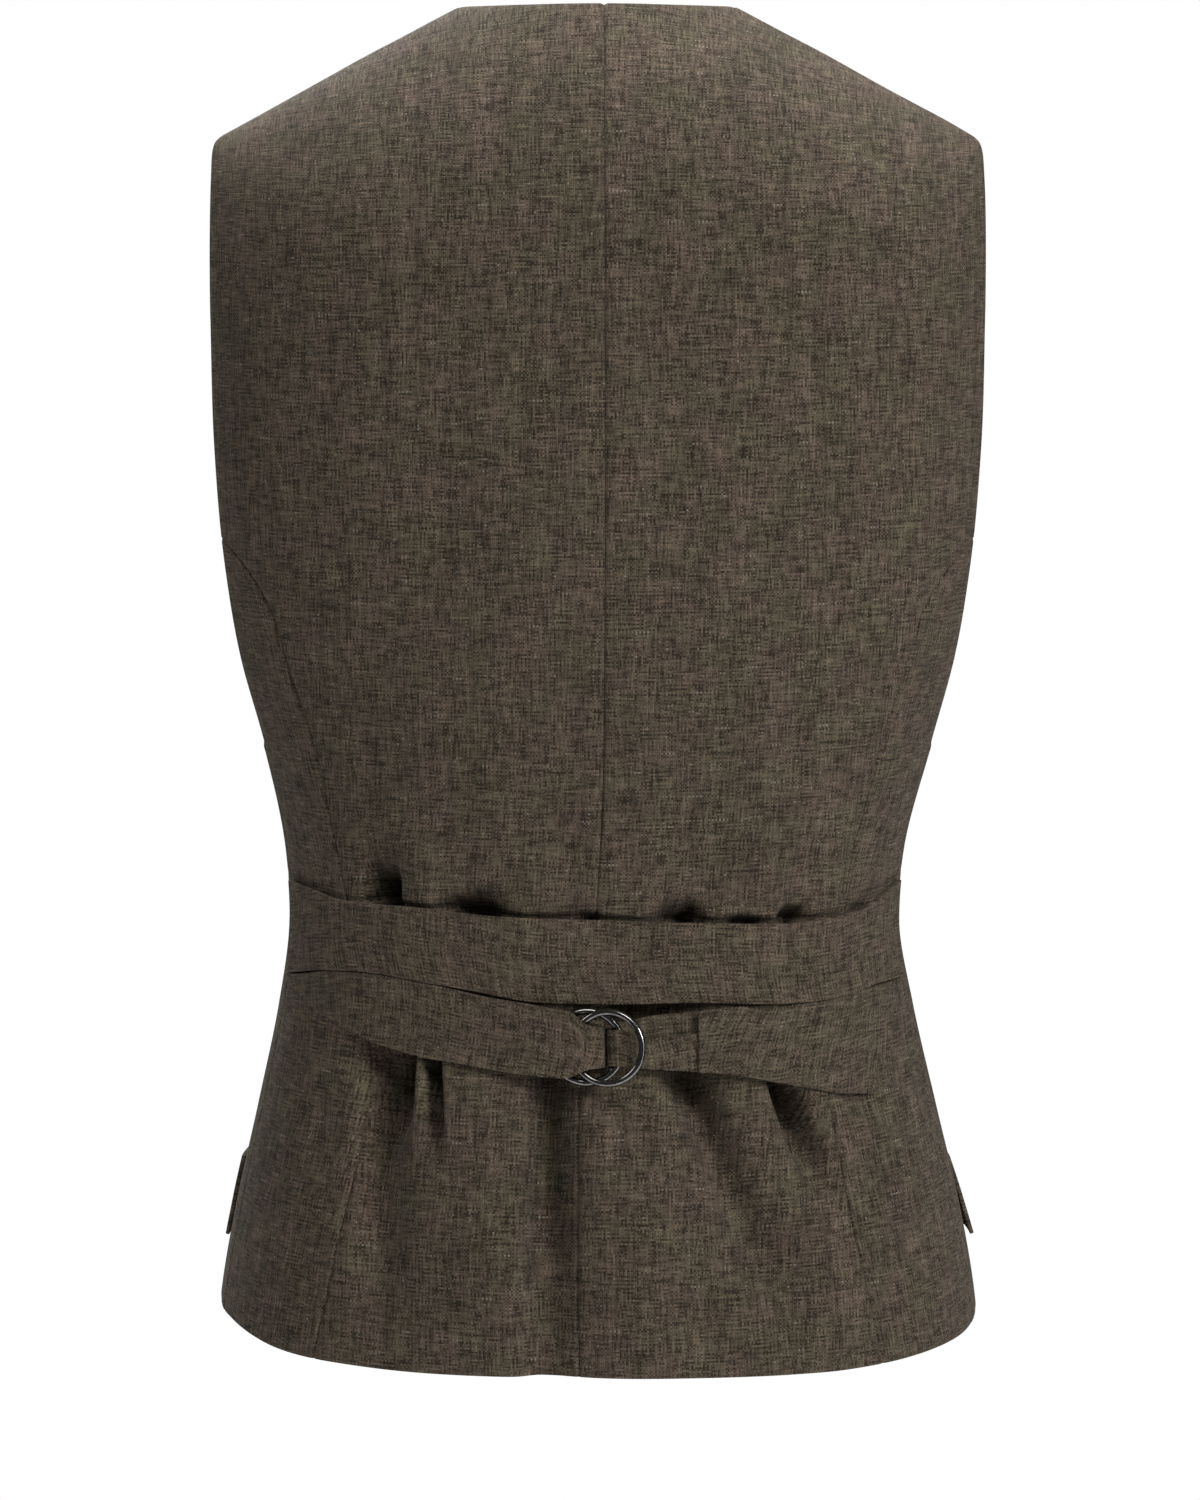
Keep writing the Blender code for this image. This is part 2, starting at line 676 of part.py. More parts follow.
def half_belt(name, material):
    """The wide band that lies across the gathered waist of the back."""
    angle = np.radians(np.linspace(-BAND_END_ANGLE, BAND_END_ANGLE, BELT_COLUMNS))
    middle = np.full_like(angle, BAND_MIDDLE_HEIGHT - BLADE_HEIGHT)
    x = form_point(angle, middle)[:, 0]
    top = smooth(*table(BAND_TOP), x)
    bottom = smooth(*table(BAND_BOTTOM), x)
    shares = np.linspace(0.0, 1.0, CROSS_STRIPS + 1)[:, None]
    level = bottom * (1.0 - shares) + top * shares - BLADE_HEIGHT
    angles = np.broadcast_to(angle, level.shape)
    normal = form_normal(angles, level, form_point)
    inner = form_point(angles, level) + SEAM_GAP * normal
    return wall(name, inner + BAND_THICKNESS * normal, inner, material)


def pocket_flap(name, side, flare, material):
    """A flap on the front that starts at the side and hangs from its upper edge."""
    angle = np.radians(np.linspace(FLAP_START_ANGLE, FLAP_END_ANGLE, FLAP_COLUMNS))
    shares = np.linspace(0.0, 1.0, CROSS_STRIPS + 1)[:, None]
    height = FLAP_TOP_HEIGHT * (1.0 - shares) + FLAP_BOTTOM_HEIGHT * shares
    level = np.broadcast_to(height - BLADE_HEIGHT, (len(height), len(angle)))
    angles = side * np.broadcast_to(angle, level.shape)
    normal = form_normal(angles, level, form_point)
    lift = (SEAM_GAP + flare * shares)[..., None]
    inner = form_point(angles, level) + lift * normal
    return wall(name, inner + FLAP_THICKNESS * normal, inner, material)


def ring(name, centre, lift, tilt, material):
    """A round wire ring that stands off the back and is turned about its upright axis."""
    section_mesh = bmesh.new()
    made = bmesh.ops.create_circle(section_mesh, segments=WIRE_SIDES, radius=RING_WIRE / 2)
    bmesh.ops.translate(section_mesh, verts=made["verts"], vec=(RING_RADIUS, 0.0, 0.0))
    bmesh.ops.rotate(
        section_mesh,
        verts=made["verts"],
        cent=(RING_RADIUS, 0.0, 0.0),
        matrix=Matrix.Rotation(math.radians(90.0), 3, "X"),
    )
    bmesh.ops.spin(
        section_mesh,
        geom=section_mesh.edges[:],
        cent=(0.0, 0.0, 0.0),
        axis=(0.0, 0.0, 1.0),
        angle=2 * math.pi,
        steps=RING_STEPS,
        use_merge=True,
    )
    bmesh.ops.remove_doubles(section_mesh, verts=section_mesh.verts, dist=MERGE_DISTANCE)
    bmesh.ops.recalc_face_normals(section_mesh, faces=section_mesh.faces)
    middle, outward = place_on_back(*centre, lift)
    turn = outward.to_track_quat("Z", "Y").to_matrix().to_4x4()
    placed = Matrix.Translation(middle) @ Matrix.Rotation(math.radians(tilt), 4, "Z") @ turn
    bmesh.ops.transform(section_mesh, matrix=placed, verts=section_mesh.verts)
    mesh = bpy.data.meshes.new(name)
    section_mesh.to_mesh(mesh)
    section_mesh.free()
    return new_object(name, mesh, material)


def place_on_back(x, height, lift):
    """A lifted point on the back and its outward direction."""
    low = on_back(x, height, 0.0)
    high = on_back(x, height, lift)
    return Vector(high), Vector(high - low).normalized()


def button(name, height, material):
    """A round dished button on the outer front, at the centre front."""
    level = np.array(height - BLADE_HEIGHT)
    angle = np.array(math.pi)
    outward = form_normal(angle, level, form_point)
    seat = form_point(angle, level) + (CLOTH + LAP_GAP + SEAM_GAP) * outward
    profile = (
        (0.0, 0.0),
        (BUTTON_RADIUS - BUTTON_RIM / 2, 0.0),
        (BUTTON_RADIUS, BUTTON_THICKNESS / 2),
        (BUTTON_RADIUS - BUTTON_RIM / 2, BUTTON_THICKNESS),
        (BUTTON_RADIUS - BUTTON_RIM, BUTTON_THICKNESS - BUTTON_DISH),
        (0.0, BUTTON_THICKNESS - BUTTON_DISH),
    )
    turned = bmesh.new()
    points = [turned.verts.new((radius, 0.0, rise)) for radius, rise in profile]
    edges = [turned.edges.new(pair) for pair in zip(points, points[1:])]
    bmesh.ops.spin(
        turned,
        geom=edges,
        cent=(0.0, 0.0, 0.0),
        axis=(0.0, 0.0, 1.0),
        angle=2 * math.pi,
        steps=BUTTON_STEPS,
        use_merge=True,
    )
    bmesh.ops.remove_doubles(turned, verts=turned.verts, dist=MERGE_DISTANCE)
    bmesh.ops.recalc_face_normals(turned, faces=turned.faces)
    turn = Vector(outward).to_track_quat("Z", "Y").to_matrix().to_4x4()
    bmesh.ops.transform(turned, matrix=Matrix.Translation(Vector(seat)) @ turn, verts=turned.verts)
    mesh = bpy.data.meshes.new(name)
    turned.to_mesh(mesh)
    turned.free()
    return new_object(name, mesh, material)


def main():
    for thing in list(bpy.data.objects):
        bpy.data.objects.remove(thing, do_unlink=True)
    linen = material_of("linen", (0.075, 0.060, 0.046), 0.9, 0.0)
    metal = material_of("dark_metal", (0.10, 0.10, 0.11), 0.25, 1.0)
    horn = material_of("button_horn", (0.035, 0.026, 0.020), 0.4, 0.0)

    for label, side in (("left", LEFT), ("right", RIGHT)):
        back_panel(f"back_{label}", side, linen)
        side_back_panel(f"side_back_{label}", side, linen)
        front_panel(f"front_{label}", side, linen)
    half_belt("back_band", linen)
    ribbon("strap_left", LEFT_STRAP, STRAP_THICKNESS, linen)
    ribbon("strap_right", RIGHT_STRAP, STRAP_THICKNESS, linen)
    ribbon("strap_tongue", TONGUE, TONGUE_THICKNESS, linen)
    ring("ring_lower", LOWER_RING_CENTRE, LOWER_RING_LIFT, 0.0, metal)
    ring("ring_upper", UPPER_RING_CENTRE, UPPER_RING_LIFT, UPPER_RING_TILT, metal)
    pocket_flap("pocket_flap_left", LEFT, LEFT_FLAP_FLARE, linen)
    pocket_flap("pocket_flap_right", RIGHT, RIGHT_FLAP_FLARE, linen)
    for number in range(BUTTON_COUNT):
        button(f"button_{number + 1}", TOP_BUTTON_HEIGHT - number * BUTTON_SPACING, horn)


main()
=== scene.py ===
# %% [markdown]
# A woman's linen waistcoat, seen from behind. The construction comes as a fixed frame of plain
# solids. This lesson dresses it: every cloth piece becomes a thin sheet of slubby linen with its
# gathers and pressed seams, and the belt gets polished rings. All lengths are metres, +Z is up,
# the wearer faces -Y and the wearer's left is +X.

import math

import bmesh
import bpy
import numpy as np
from mathutils import Matrix, Vector, noise


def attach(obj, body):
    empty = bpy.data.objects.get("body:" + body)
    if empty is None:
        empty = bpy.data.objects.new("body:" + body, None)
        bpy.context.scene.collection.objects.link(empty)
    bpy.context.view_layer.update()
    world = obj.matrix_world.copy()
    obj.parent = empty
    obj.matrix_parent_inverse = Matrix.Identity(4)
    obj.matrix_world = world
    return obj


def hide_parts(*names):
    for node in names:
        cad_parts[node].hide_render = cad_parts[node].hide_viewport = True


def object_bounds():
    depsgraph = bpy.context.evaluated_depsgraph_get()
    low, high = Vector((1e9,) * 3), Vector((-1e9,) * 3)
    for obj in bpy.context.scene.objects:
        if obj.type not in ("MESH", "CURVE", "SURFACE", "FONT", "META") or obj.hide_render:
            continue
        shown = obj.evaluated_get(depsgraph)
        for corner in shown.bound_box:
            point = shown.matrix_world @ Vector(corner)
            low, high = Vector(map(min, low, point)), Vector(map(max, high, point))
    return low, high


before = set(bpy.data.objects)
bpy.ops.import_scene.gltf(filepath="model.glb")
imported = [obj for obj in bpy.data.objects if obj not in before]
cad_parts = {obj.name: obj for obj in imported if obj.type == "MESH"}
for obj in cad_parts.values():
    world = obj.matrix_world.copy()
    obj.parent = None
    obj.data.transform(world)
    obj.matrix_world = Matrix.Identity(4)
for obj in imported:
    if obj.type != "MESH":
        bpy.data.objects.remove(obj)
CAD_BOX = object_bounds()
box = [[round(c, 3) for c in corner] for corner in CAD_BOX]
print("frame:", len(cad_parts), "solids, box", box)

# %% [markdown]
# The camera stands behind the wearer at neck height and looks slightly down, as a shop's camera
# does. A long lens keeps the sides of the garment from bulging. The lens and the height were
# worked out from the photograph: the hem is level there only from this height.

# %% Camera
CAMERA_DISTANCE = 1.90
CAMERA_HEIGHT = -0.039
CAMERA_ASIDE = -0.0011
AIM_HEIGHT = -0.294
LENS_MM = 105.04
SENSOR_MM = 36.0

camera_data = bpy.data.cameras.new("camera")
camera_data.sensor_fit = "VERTICAL"
camera_data.sensor_height = SENSOR_MM
camera_data.lens = LENS_MM
camera = bpy.data.objects.new("camera", camera_data)
bpy.context.scene.collection.objects.link(camera)
camera.location = (CAMERA_ASIDE, CAMERA_DISTANCE, CAMERA_HEIGHT)
look_down = math.atan((CAMERA_HEIGHT - AIM_HEIGHT) / CAMERA_DISTANCE)
camera.rotation_euler = (math.pi / 2 - look_down, 0.0, math.pi)
bpy.context.scene.camera = camera
print("camera looks", round(math.degrees(look_down), 2), "degrees down")

# %% [markdown]
# Curves through a few listed values shape everything here. A table holds the values, and
# smooth() reads a soft curve through them, so that a handful of rows is enough for a body form.
# The longest tables are in millimetres, and MM turns them into metres.

# %% Tables and smooth curves
MM = 0.001


def table(rows, unit=1.0):
    """The columns of a table of numbers."""
    return unit * np.array(rows, dtype=float).T


def smooth(places, values, wanted):
    """A soft curve through the values at the given places, read at the wanted places."""
    wanted = np.clip(wanted, places[0], places[-1])
    slopes = np.gradient(values, places)
    index = np.clip(np.searchsorted(places, wanted) - 1, 0, len(places) - 2)
    span = places[index + 1] - places[index]
    t = (wanted - places[index]) / span
    start = (2 * t**3 - 3 * t**2 + 1) * values[index] + (t**3 - 2 * t**2 + t) * span * slopes[index]
    end = (3 * t**2 - 2 * t**3) * values[index + 1] + (t**3 - t**2) * span * slopes[index + 1]
    return start + end


def between(first, second, share):
    """A value that lies a share of the way from a first one to a second one."""
    return first * (1.0 - share) + second * share


def signed_power(value, power):
    """The power of a value's size, with the value's sign."""
    return np.sign(value) * np.abs(value) ** power


# %% [markdown]
# The body form. A tailor would pad a dress form. Here each height has a rounded section: a
# superellipse, which is an ellipse whose sides are a little flatter. Above the blades the
# section is drawn up over the shoulders. A place on the form is an angle round the body, 0 at the
# centre back and 180 degrees at the centre front, and a level, which is the height above the
# blade line. The same form carries the frame's solids, so the sheets lie just where they are.

# %% The body form
NECK_RISE = 0.030
NECK_HALF_WIDTH = 0.059
NECK_HEIGHT = -0.003
SHOULDER_SLOPE = 0.558
SHOULDER_ROUNDING = 0.030
BLADE_HEIGHT = -0.130
CAP_LEVEL = 0.140
STEP = 1e-4

SECTIONS = table((
    # height, sway, half_width, back_depth, front_depth, squareness
    (-0.61, 0.0, 0.169, 0.136, 0.121, 2.45),
    (-0.575, 0.0, 0.168, 0.134, 0.12, 2.45),
    (-0.526, 0.0, 0.1602, 0.128, 0.118, 2.4),
    (-0.48, 0.0003, 0.1497, 0.116, 0.112, 2.35),
    (-0.435, 0.0008, 0.1394, 0.104, 0.104, 2.3),
    (-0.4, 0.0014, 0.1339, 0.099, 0.1, 2.3),
    (-0.368, 0.0012, 0.1352, 0.0975, 0.103, 2.3),
    (-0.324, 0.0, 0.1448, 0.101, 0.113, 2.3),
    (-0.28, 0.0, 0.1578, 0.105, 0.124, 2.3),
    (-0.236, 0.0, 0.1652, 0.108, 0.128, 2.3),
    (-0.19, 0.0, 0.169, 0.108, 0.122, 2.3),
    (-0.13, 0.0, 0.1702, 0.104, 0.106, 2.3),
))


def section(height):
    """Sway, half width, back depth, front depth and squareness of the form at a height."""
    return [smooth(SECTIONS[0], column, height) for column in SECTIONS[1:]]


def shoulder_height(x):
    """Height of the shoulder line above a sideways place."""
    rounded = np.sqrt(x**2 + SHOULDER_ROUNDING**2)
    return NECK_HEIGHT + SHOULDER_SLOPE * (math.hypot(NECK_HALF_WIDTH, SHOULDER_ROUNDING) - rounded)


def form_point(angle, level):
    """The point of the body form at an angle and a level."""
    height = BLADE_HEIGHT + np.minimum(level, 0.0)
    sway, half_width, back_depth, front_depth, squareness = section(height)
    depth = np.where(np.cos(angle) > 0.0, back_depth, front_depth)
    x = half_width * signed_power(np.sin(angle), 2.0 / squareness)
    y = depth * signed_power(np.cos(angle), 2.0 / squareness)
    climb = 0.5 * math.pi * np.clip(level / CAP_LEVEL, 0.0, 1.0)
    cap_rise = (shoulder_height(x) - BLADE_HEIGHT) * np.sin(climb)
    return np.stack([x + sway, y * np.cos(climb), height + cap_rise], axis=-1)


def form_normal(angle, level, surface=form_point):
    """The outward direction of a surface at an angle and a level."""
    level = np.minimum(level, CAP_LEVEL - 2 * STEP)
    across = surface(angle + STEP, level) - surface(angle - STEP, level)
    upward = surface(angle, level + STEP) - surface(angle, level - STEP)
    normal = np.cross(upward, across)
    return normal / np.linalg.norm(normal, axis=-1, keepdims=True)


def angle_at(x, level, facing_front=False):
    """The angle at which the form has the sideways place x."""
    _, half_width, _, _, squareness = section(BLADE_HEIGHT + np.minimum(level, 0.0))
    share = np.clip(np.abs(x) / half_width, 0.0, 1.0)
    angle = np.sign(x) * np.arcsin(share ** (squareness / 2.0))
    return math.pi - angle if facing_front else angle


def level_at(x, height):
    """The level at which the form reaches a height above the sideways place x."""
    share = (height - BLADE_HEIGHT) / (shoulder_height(x) - BLADE_HEIGHT)
    climb = np.arcsin(np.clip(share, 0.0, 1.0)) / (0.5 * math.pi)
    return np.where(height > BLADE_HEIGHT, climb * CAP_LEVEL, height - BLADE_HEIGHT)


def on_back(x, height, lift):
    """A point that stands off the ungathered back by a lift."""
    x = np.asarray(x, dtype=float)
    level = level_at(x, np.asarray(height, dtype=float))
    angle = angle_at(x, level)
    return form_point(angle, level) + np.asarray(lift)[..., None] * form_normal(angle, level)


WAIST_HEIGHT = -0.400
waist = section(np.array(WAIST_HEIGHT))
print("half width and depth at the waist:", [round(float(value), 3) for value in waist[1:3]])

# %% [markdown]
# Gathers. The half belt draws the back in, so the cloth above it dips into short dark pits, and
# below the straps it opens into long valleys that fan out to the hem. Cloth simulation could
# find such folds, but never these ones, so each is listed: a root where it is deepest, a
# tip where it fades, a half width and a depth, inwards when negative. A short pit has steep walls
# and a long valley slopes. The lean makes one flank steeper than the other, as in real cloth. The
# belt's own two edges are curves, and the back is pulled in along the upper one.

# %% Gathers and creases
FOLD_WIDENING = 0.5
FOLD_ROOT_FADE = 0.016
FOLD_FADE_POWER = 1.3
PIT_LENGTH = 0.05
PIT_SQUARENESS = 4.0
PIT_SOFTENING = 1.5
VALLEY_SQUARENESS = 2.2
BELT_PULL = 0.0030
BELT_PULL_REACH = 0.0020
BELT_PULL_END = 0.108
BELT_PULL_FADE = 0.016
LEAST_BELT_PULL = 0.05
FOLD_UNITS = np.array([MM] * 6 + [1.0])

BAND_TOP = table((
    # x, height
    (-133, -374.5), (-123.3, -378.6), (-117.2, -381.8), (-110.8, -384.2), (-100, -385.6),
    (-43, -384.3), (3, -382.4), (40.3, -381.5), (81.9, -379), (100, -379.2), (111, -379),
    (120.5, -377), (133, -376.6),
), MM)
BAND_BOTTOM = table((
    # x, height
    (-133, -418.8), (-116.4, -417.4), (-102.8, -419.6), (-91.8, -420.3), (-76.8, -420.1),
    (-61.9, -419.2), (-42.9, -417.8), (0, -417.6), (32.3, -416.4), (51.2, -413), (77.1, -410),
    (89.6, -408.7), (107.2, -409.4), (118.7, -411.7), (133, -417.5),
), MM)
BACK_FOLDS = FOLD_UNITS * (
    # root_x, root_height, tip_x, tip_height, half_width, depth, lean
    (89.3, -392, 90.8, -359, 5.6, -20, 0.2),
    (90, -378, 92, -345, 6, -3.6, 0),
    (56.3, -392, 58, -369.5, 9.8, -17, -0.3),
    (5, -392, 4.5, -377, 3.4, -7, 0),
    (-32.8, -392, -33.8, -374, 7, -16, 0),
    (-38, -384, -64, -335, 7, -3.8, -0.2),
    (-63, -392, -64, -381.5, 5, -12, 0.3),
    (-83.2, -392, -84.2, -378.5, 4.4, -13, 0.2),
    (-84, -384, -89.5, -352, 6, -3.5, 0),
    (-111, -389, -112, -379, 3, -4, 0),
    (72, -388, 72, -330, 8.5, 2.2, 0),
    (28, -388, 28, -330, 12, 1.8, 0),
    (-15, -388, -16, -330, 11, 1.8, 0),
    (-50, -388, -50, -350, 6, 1.6, 0),
    (-5, -421.5, -50, -420, 5, -12, 0),
    (80, -438, 85, -482, 4.6, -18, -0.35),
    (92.5, -445, 91.5, -575, 8.4, -11.5, 0),
    (85, -440, 101, -515, 6, -5.5, -0.2),
    (68.7, -441, 67.2, -488, 3.3, -15, -0.3),
    (23.2, -440, 23.7, -610, 8.2, -14, 0.35),
    (22.5, -470, 23.5, -600, 7.4, -5, 0.3),
    (-35, -446, -37.5, -466, 8, -6, 0),
    (-34.5, -444, -93, -580, 7.8, -14.5, 0.15),
    (-76.5, -450, -95.5, -495.5, 4.2, -15, 0.1),
    (-79, -455, -109, -530, 6, -7.5, 0),
    (-106, -450, -118, -476, 6, -3.5, 0),
    (45, -520, 45, -590, 17, 3.4, 0),
    (45, -520, 44, -460, 13, 3.4, 0),
    (-18, -525, -19, -590, 15, 3, 0),
    (-18, -525, -18, -462, 12, 3, 0),
    (-93, -540, -95, -590, 12, 2.2, 0),
    (122, -470, 108, -520, 8, -1.4, 0),
    (-112, -422, -122, -404, 4.5, -1.2, 0),
    (-118, -490, -126, -540, 8, -1.4, 0),
    (100, -300, 45, -375, 12, -1, 0.2),
    (-100, -290, -50, -360, 13, -1, -0.2),
    (20, -120, 50, -260, 16, -0.9, 0),
    (-30, -140, -60, -270, 15, -0.9, 0),
)
FRONT_FOLDS = FOLD_UNITS * (
    # root_x, root_height, tip_x, tip_height, half_width, depth, lean
    (10, -343, 70, -372, 7, -1.6, 0.2),
    (-12, -416, -75, -402, 7.5, -1.8, -0.2),
    (12, -489, 62, -520, 8, -1.4, 0),
    (-10, -345, -56, -318, 7, -1.3, 0),
    (108, -300, 80, -250, 10, -1.6, 0),
    (-108, -296, -78, -240, 10, -1.7, 0),
    (120, -405, 75, -398, 6, -1.3, 0.2),
    (-118, -398, -80, -392, 6.5, -1.4, 0),
    (90, -545, 90, -600, 14, 1.8, 0),
    (-95, -545, -95, -600, 14, 1.8, 0),
    (62, -120, 85, -200, 10, -1.1, 0),
    (-60, -120, -90, -210, 11, -1.1, 0),
)
RIPPLE_DEPTH = 0.00045
RIPPLES_ACROSS = 34.0
RIPPLES_ALONG = 9.0


def fold_depth(folds, x, height):
    """How far the folds of a table move the cloth outwards."""
    moved = np.zeros_like(x)
    for root_x, root_height, tip_x, tip_height, half_width, depth, lean in folds:
        run = np.array([tip_x - root_x, tip_height - root_height])
        length = np.hypot(*run)
        forward = ((x - root_x) * run[0] + (height - root_height) * run[1]) / length
        aside = ((x - root_x) * run[1] - (height - root_height) * run[0]) / length
        t = np.clip(forward / length, 0.0, 1.0)
        toward_root = 1.0 + forward / FOLD_ROOT_FADE
        fade = np.where(forward > 0.0, (1.0 - t * t) ** FOLD_FADE_POWER, toward_root)
        width = half_width * (1.0 + FOLD_WIDENING * t) * (1.0 + lean * np.sign(aside))
        pit = length < PIT_LENGTH
        squareness = PIT_SQUARENESS - PIT_SOFTENING * t if pit else VALLEY_SQUARENESS
        profile = np.exp(-(np.abs(aside / width) ** squareness))
        moved += depth * np.clip(fade, 0.0, 1.0) * profile
    return moved


def ripple(point):
    """A faint unevenness that runs mostly up and down, as in worn linen."""
    flat = point.reshape(-1, 3)
    scale = np.array([RIPPLES_ACROSS, RIPPLES_ACROSS, RIPPLES_ALONG])
    heights = [noise.noise(Vector(place)) for place in flat * scale]
    return RIPPLE_DEPTH * np.array(heights).reshape(point.shape[:-1])


def cloth_point(angle, level):
    """The outer face of the folded cloth at an angle and a level."""
    point = form_point(angle, level)
    above_belt = point[..., 2] - smooth(*BAND_TOP, point[..., 0])
    inside_end = (BELT_PULL_END - np.abs(point[..., 0])) / BELT_PULL_FADE
    strength = np.clip(inside_end, LEAST_BELT_PULL, 1.0)
    pull = BELT_PULL * strength * np.exp(-((above_belt / BELT_PULL_REACH) ** 2))
    back = fold_depth(BACK_FOLDS, point[..., 0], point[..., 2]) - pull
    front = fold_depth(FRONT_FOLDS, point[..., 0], point[..., 2])
    moved = np.where(np.cos(angle) > 0.0, back, front)
    return point + moved[..., None] * form_normal(angle, level)


print("folds placed by hand:", len(BACK_FOLDS), "on the back,", len(FRONT_FOLDS), "on the front")

# %% [markdown]
# Linen is a plain weave of uneven yarns. Every yarn has its own shade, some swell into pale
# slubs, and the cloth as a whole is mottled. An image could show it, but a node group can give it
# to any piece at true scale: the pieces carry a UV map in metres, along and across the grain. The
# group puts out a colour, a roughness and a height, and each material places it with its values.

# %% Node helpers
def set_sockets(tree, sockets, values):
    """Links or sets each of the named input sockets."""
    for name, value in values.items():
        if isinstance(value, bpy.types.NodeSocket):
            tree.links.new(value, sockets[name])
        else:
            sockets[name].default_value = value


def add_node(tree, kind, sockets=None, **settings):
    """A node with its settings, and its input sockets linked or set."""
    made = tree.nodes.new(kind)
    for name, value in settings.items():
        setattr(made, name, value)
    set_sockets(tree, made.inputs, sockets or {})
    return made


def calculate(tree, operation, first, second=0.0, third=0.0):
    """The result of a Math node on numbers or sockets."""
    sockets = {0: first, 1: second, 2: third}
    return add_node(tree, "ShaderNodeMath", sockets, operation=operation).outputs[0]


def combine(tree, x, y):
    """A vector from two numbers or sockets."""
    return add_node(tree, "ShaderNodeCombineXYZ", {"X": x, "Y": y}).outputs[0]


def stretch(tree, vector, rates):
    """A vector whose three parts are multiplied by three rates."""
    sockets = {0: vector, 1: rates}
    return add_node(tree, "ShaderNodeVectorMath", sockets, operation="MULTIPLY").outputs[0]


def soft_noise(tree, vector, scale, detail=2.0, roughness=0.5):
    """A flat noise that runs from about 0.25 to 0.75."""
    sockets = {"Vector": vector, "Scale": scale, "Detail": detail, "Roughness": roughness}
    return add_node(tree, "ShaderNodeTexNoise", sockets, noise_dimensions="2D").outputs["Fac"]


def rescale(tree, value, low, high, new_low=0.0, new_high=1.0):
    """A value moved from one range to another, and clamped to it."""
    sockets = {"Value": value, "From Min": low, "From Max": high}
    sockets |= {"To Min": new_low, "To Max": new_high}
    return add_node(tree, "ShaderNodeMapRange", sockets).outputs["Result"]


def blend_colour(tree, share, first, second, blend="MIX"):
    """Two colours mixed by a share."""
    sockets = {0: share, 6: first, 7: second}
    mix = add_node(tree, "ShaderNodeMix", sockets, data_type="RGBA", blend_type=blend)
    return mix.outputs[2]


def new_material(name):
    """A material, its node tree and its shader's input sockets."""
    material = bpy.data.materials.new(name)
    material.use_nodes = True
    tree = material.node_tree
    return material, tree, tree.nodes["Principled BSDF"].inputs

# %% The linen weave as a node group
LINEN_PORTS = (
    ("Metres", "INPUT", "Vector"), ("Yarn", "INPUT", "Float"), ("Slubs", "INPUT", "Float"),
    ("Mottle", "INPUT", "Float"), ("Dark", "INPUT", "Color"), ("Light", "INPUT", "Color"),
    ("Slub Colour", "INPUT", "Color"), ("Color", "OUTPUT", "Color"),
    ("Roughness", "OUTPUT", "Float"), ("Height", "OUTPUT", "Float"),
)
# across, along, seed and slubs per metre of the upright and of the level yarns
YARN_SETS = (("X", "Y", 3.7, 330.0), ("Y", "X", 61.3, 90.0))
LANE_SPACING = 5.31
TONES_PER_METRE = 130.0
SLUB_RANGE = (0.83, 0.90)
SLUB_COVER = 0.55
THREADS = ((1150.0, 60.0, 0.0), (55.0, 1250.0, 0.0))
YARN_SHARE = 0.6
CLOTH_RANGE = (0.40, 0.65)
PATCHES = (45.0, 4.0, 0.6)
PATCH_STRENGTH = 0.09
LONG_STREAKS = (150.0, 7.0, 0.0)
LONG_STREAK_STRENGTH = 0.12
DYE_RATE = 48.0
DYE_STRENGTH = 0.04
FLECK_HEIGHT = 0.8
THREAD_HEIGHT = 1.2


def weave_yarns(tree, metres, yarn_width):
    """Tone, slubs and roundness of whichever yarn lies on top in a plain weave."""
    split = add_node(tree, "ShaderNodeSeparateXYZ", {"Vector": metres}).outputs
    indexes, tones, slubs, bodies = [], [], [], []
    for across, along, seed, slub_rate in YARN_SETS:
        place = calculate(tree, "DIVIDE", split[across], yarn_width)
        index = calculate(tree, "FLOOR", place)
        lane = calculate(tree, "MULTIPLY_ADD", index, LANE_SPACING, seed)
        tone, slub = [
            soft_noise(tree, combine(tree, lane, run), 1.0, detail) for run, detail in (
                (calculate(tree, "MULTIPLY", split[along], TONES_PER_METRE), 4.0),
                (calculate(tree, "MULTIPLY", split[along], slub_rate), 0.0),
            )
        ]
        half_turn = calculate(tree, "MULTIPLY", calculate(tree, "FRACT", place), math.pi)
        indexes.append(index)
        tones.append(tone)
        slubs.append(rescale(tree, slub, *SLUB_RANGE))
        bodies.append(calculate(tree, "SINE", half_turn))
    over = calculate(tree, "FLOORED_MODULO", calculate(tree, "ADD", *indexes), 2.0)
    tone, slub = [
        add_node(tree, "ShaderNodeMix", {0: over, 2: pair[0], 3: pair[1]}, data_type="FLOAT")
        for pair in (tones, slubs)
    ]
    return tone.outputs[0], slub.outputs[0], calculate(tree, "MULTIPLY", *bodies)


def uneven_dye(tree, metres, mottle):
    """A colour near white that shades the cloth in patches, streaks and tints."""
    patches = soft_noise(tree, metres, *PATCHES)
    streaks = soft_noise(tree, stretch(tree, metres, LONG_STREAKS), 1.0)
    patch = calculate(tree, "ADD", *[
        rescale(tree, noise_value, 0.3, 0.7, -strength, strength)
        for noise_value, strength in ((patches, PATCH_STRENGTH), (streaks, LONG_STREAK_STRENGTH))
    ])
    shade = calculate(tree, "MULTIPLY_ADD", patch, mottle, 1.0)
    tint = soft_noise(tree, metres, DYE_RATE)
    dye = rescale(tree, tint, 0.35, 0.65, -DYE_STRENGTH, DYE_STRENGTH)
    dyed = calculate(tree, "MULTIPLY", dye, shade)
    reddish = calculate(tree, "MULTIPLY_ADD", dyed, mottle, shade)
    greenish = calculate(tree, "MULTIPLY_ADD", dyed, -0.5, shade)
    sockets = {"Red": reddish, "Green": greenish, "Blue": reddish}
    return add_node(tree, "ShaderNodeCombineColor", sockets).outputs[0]


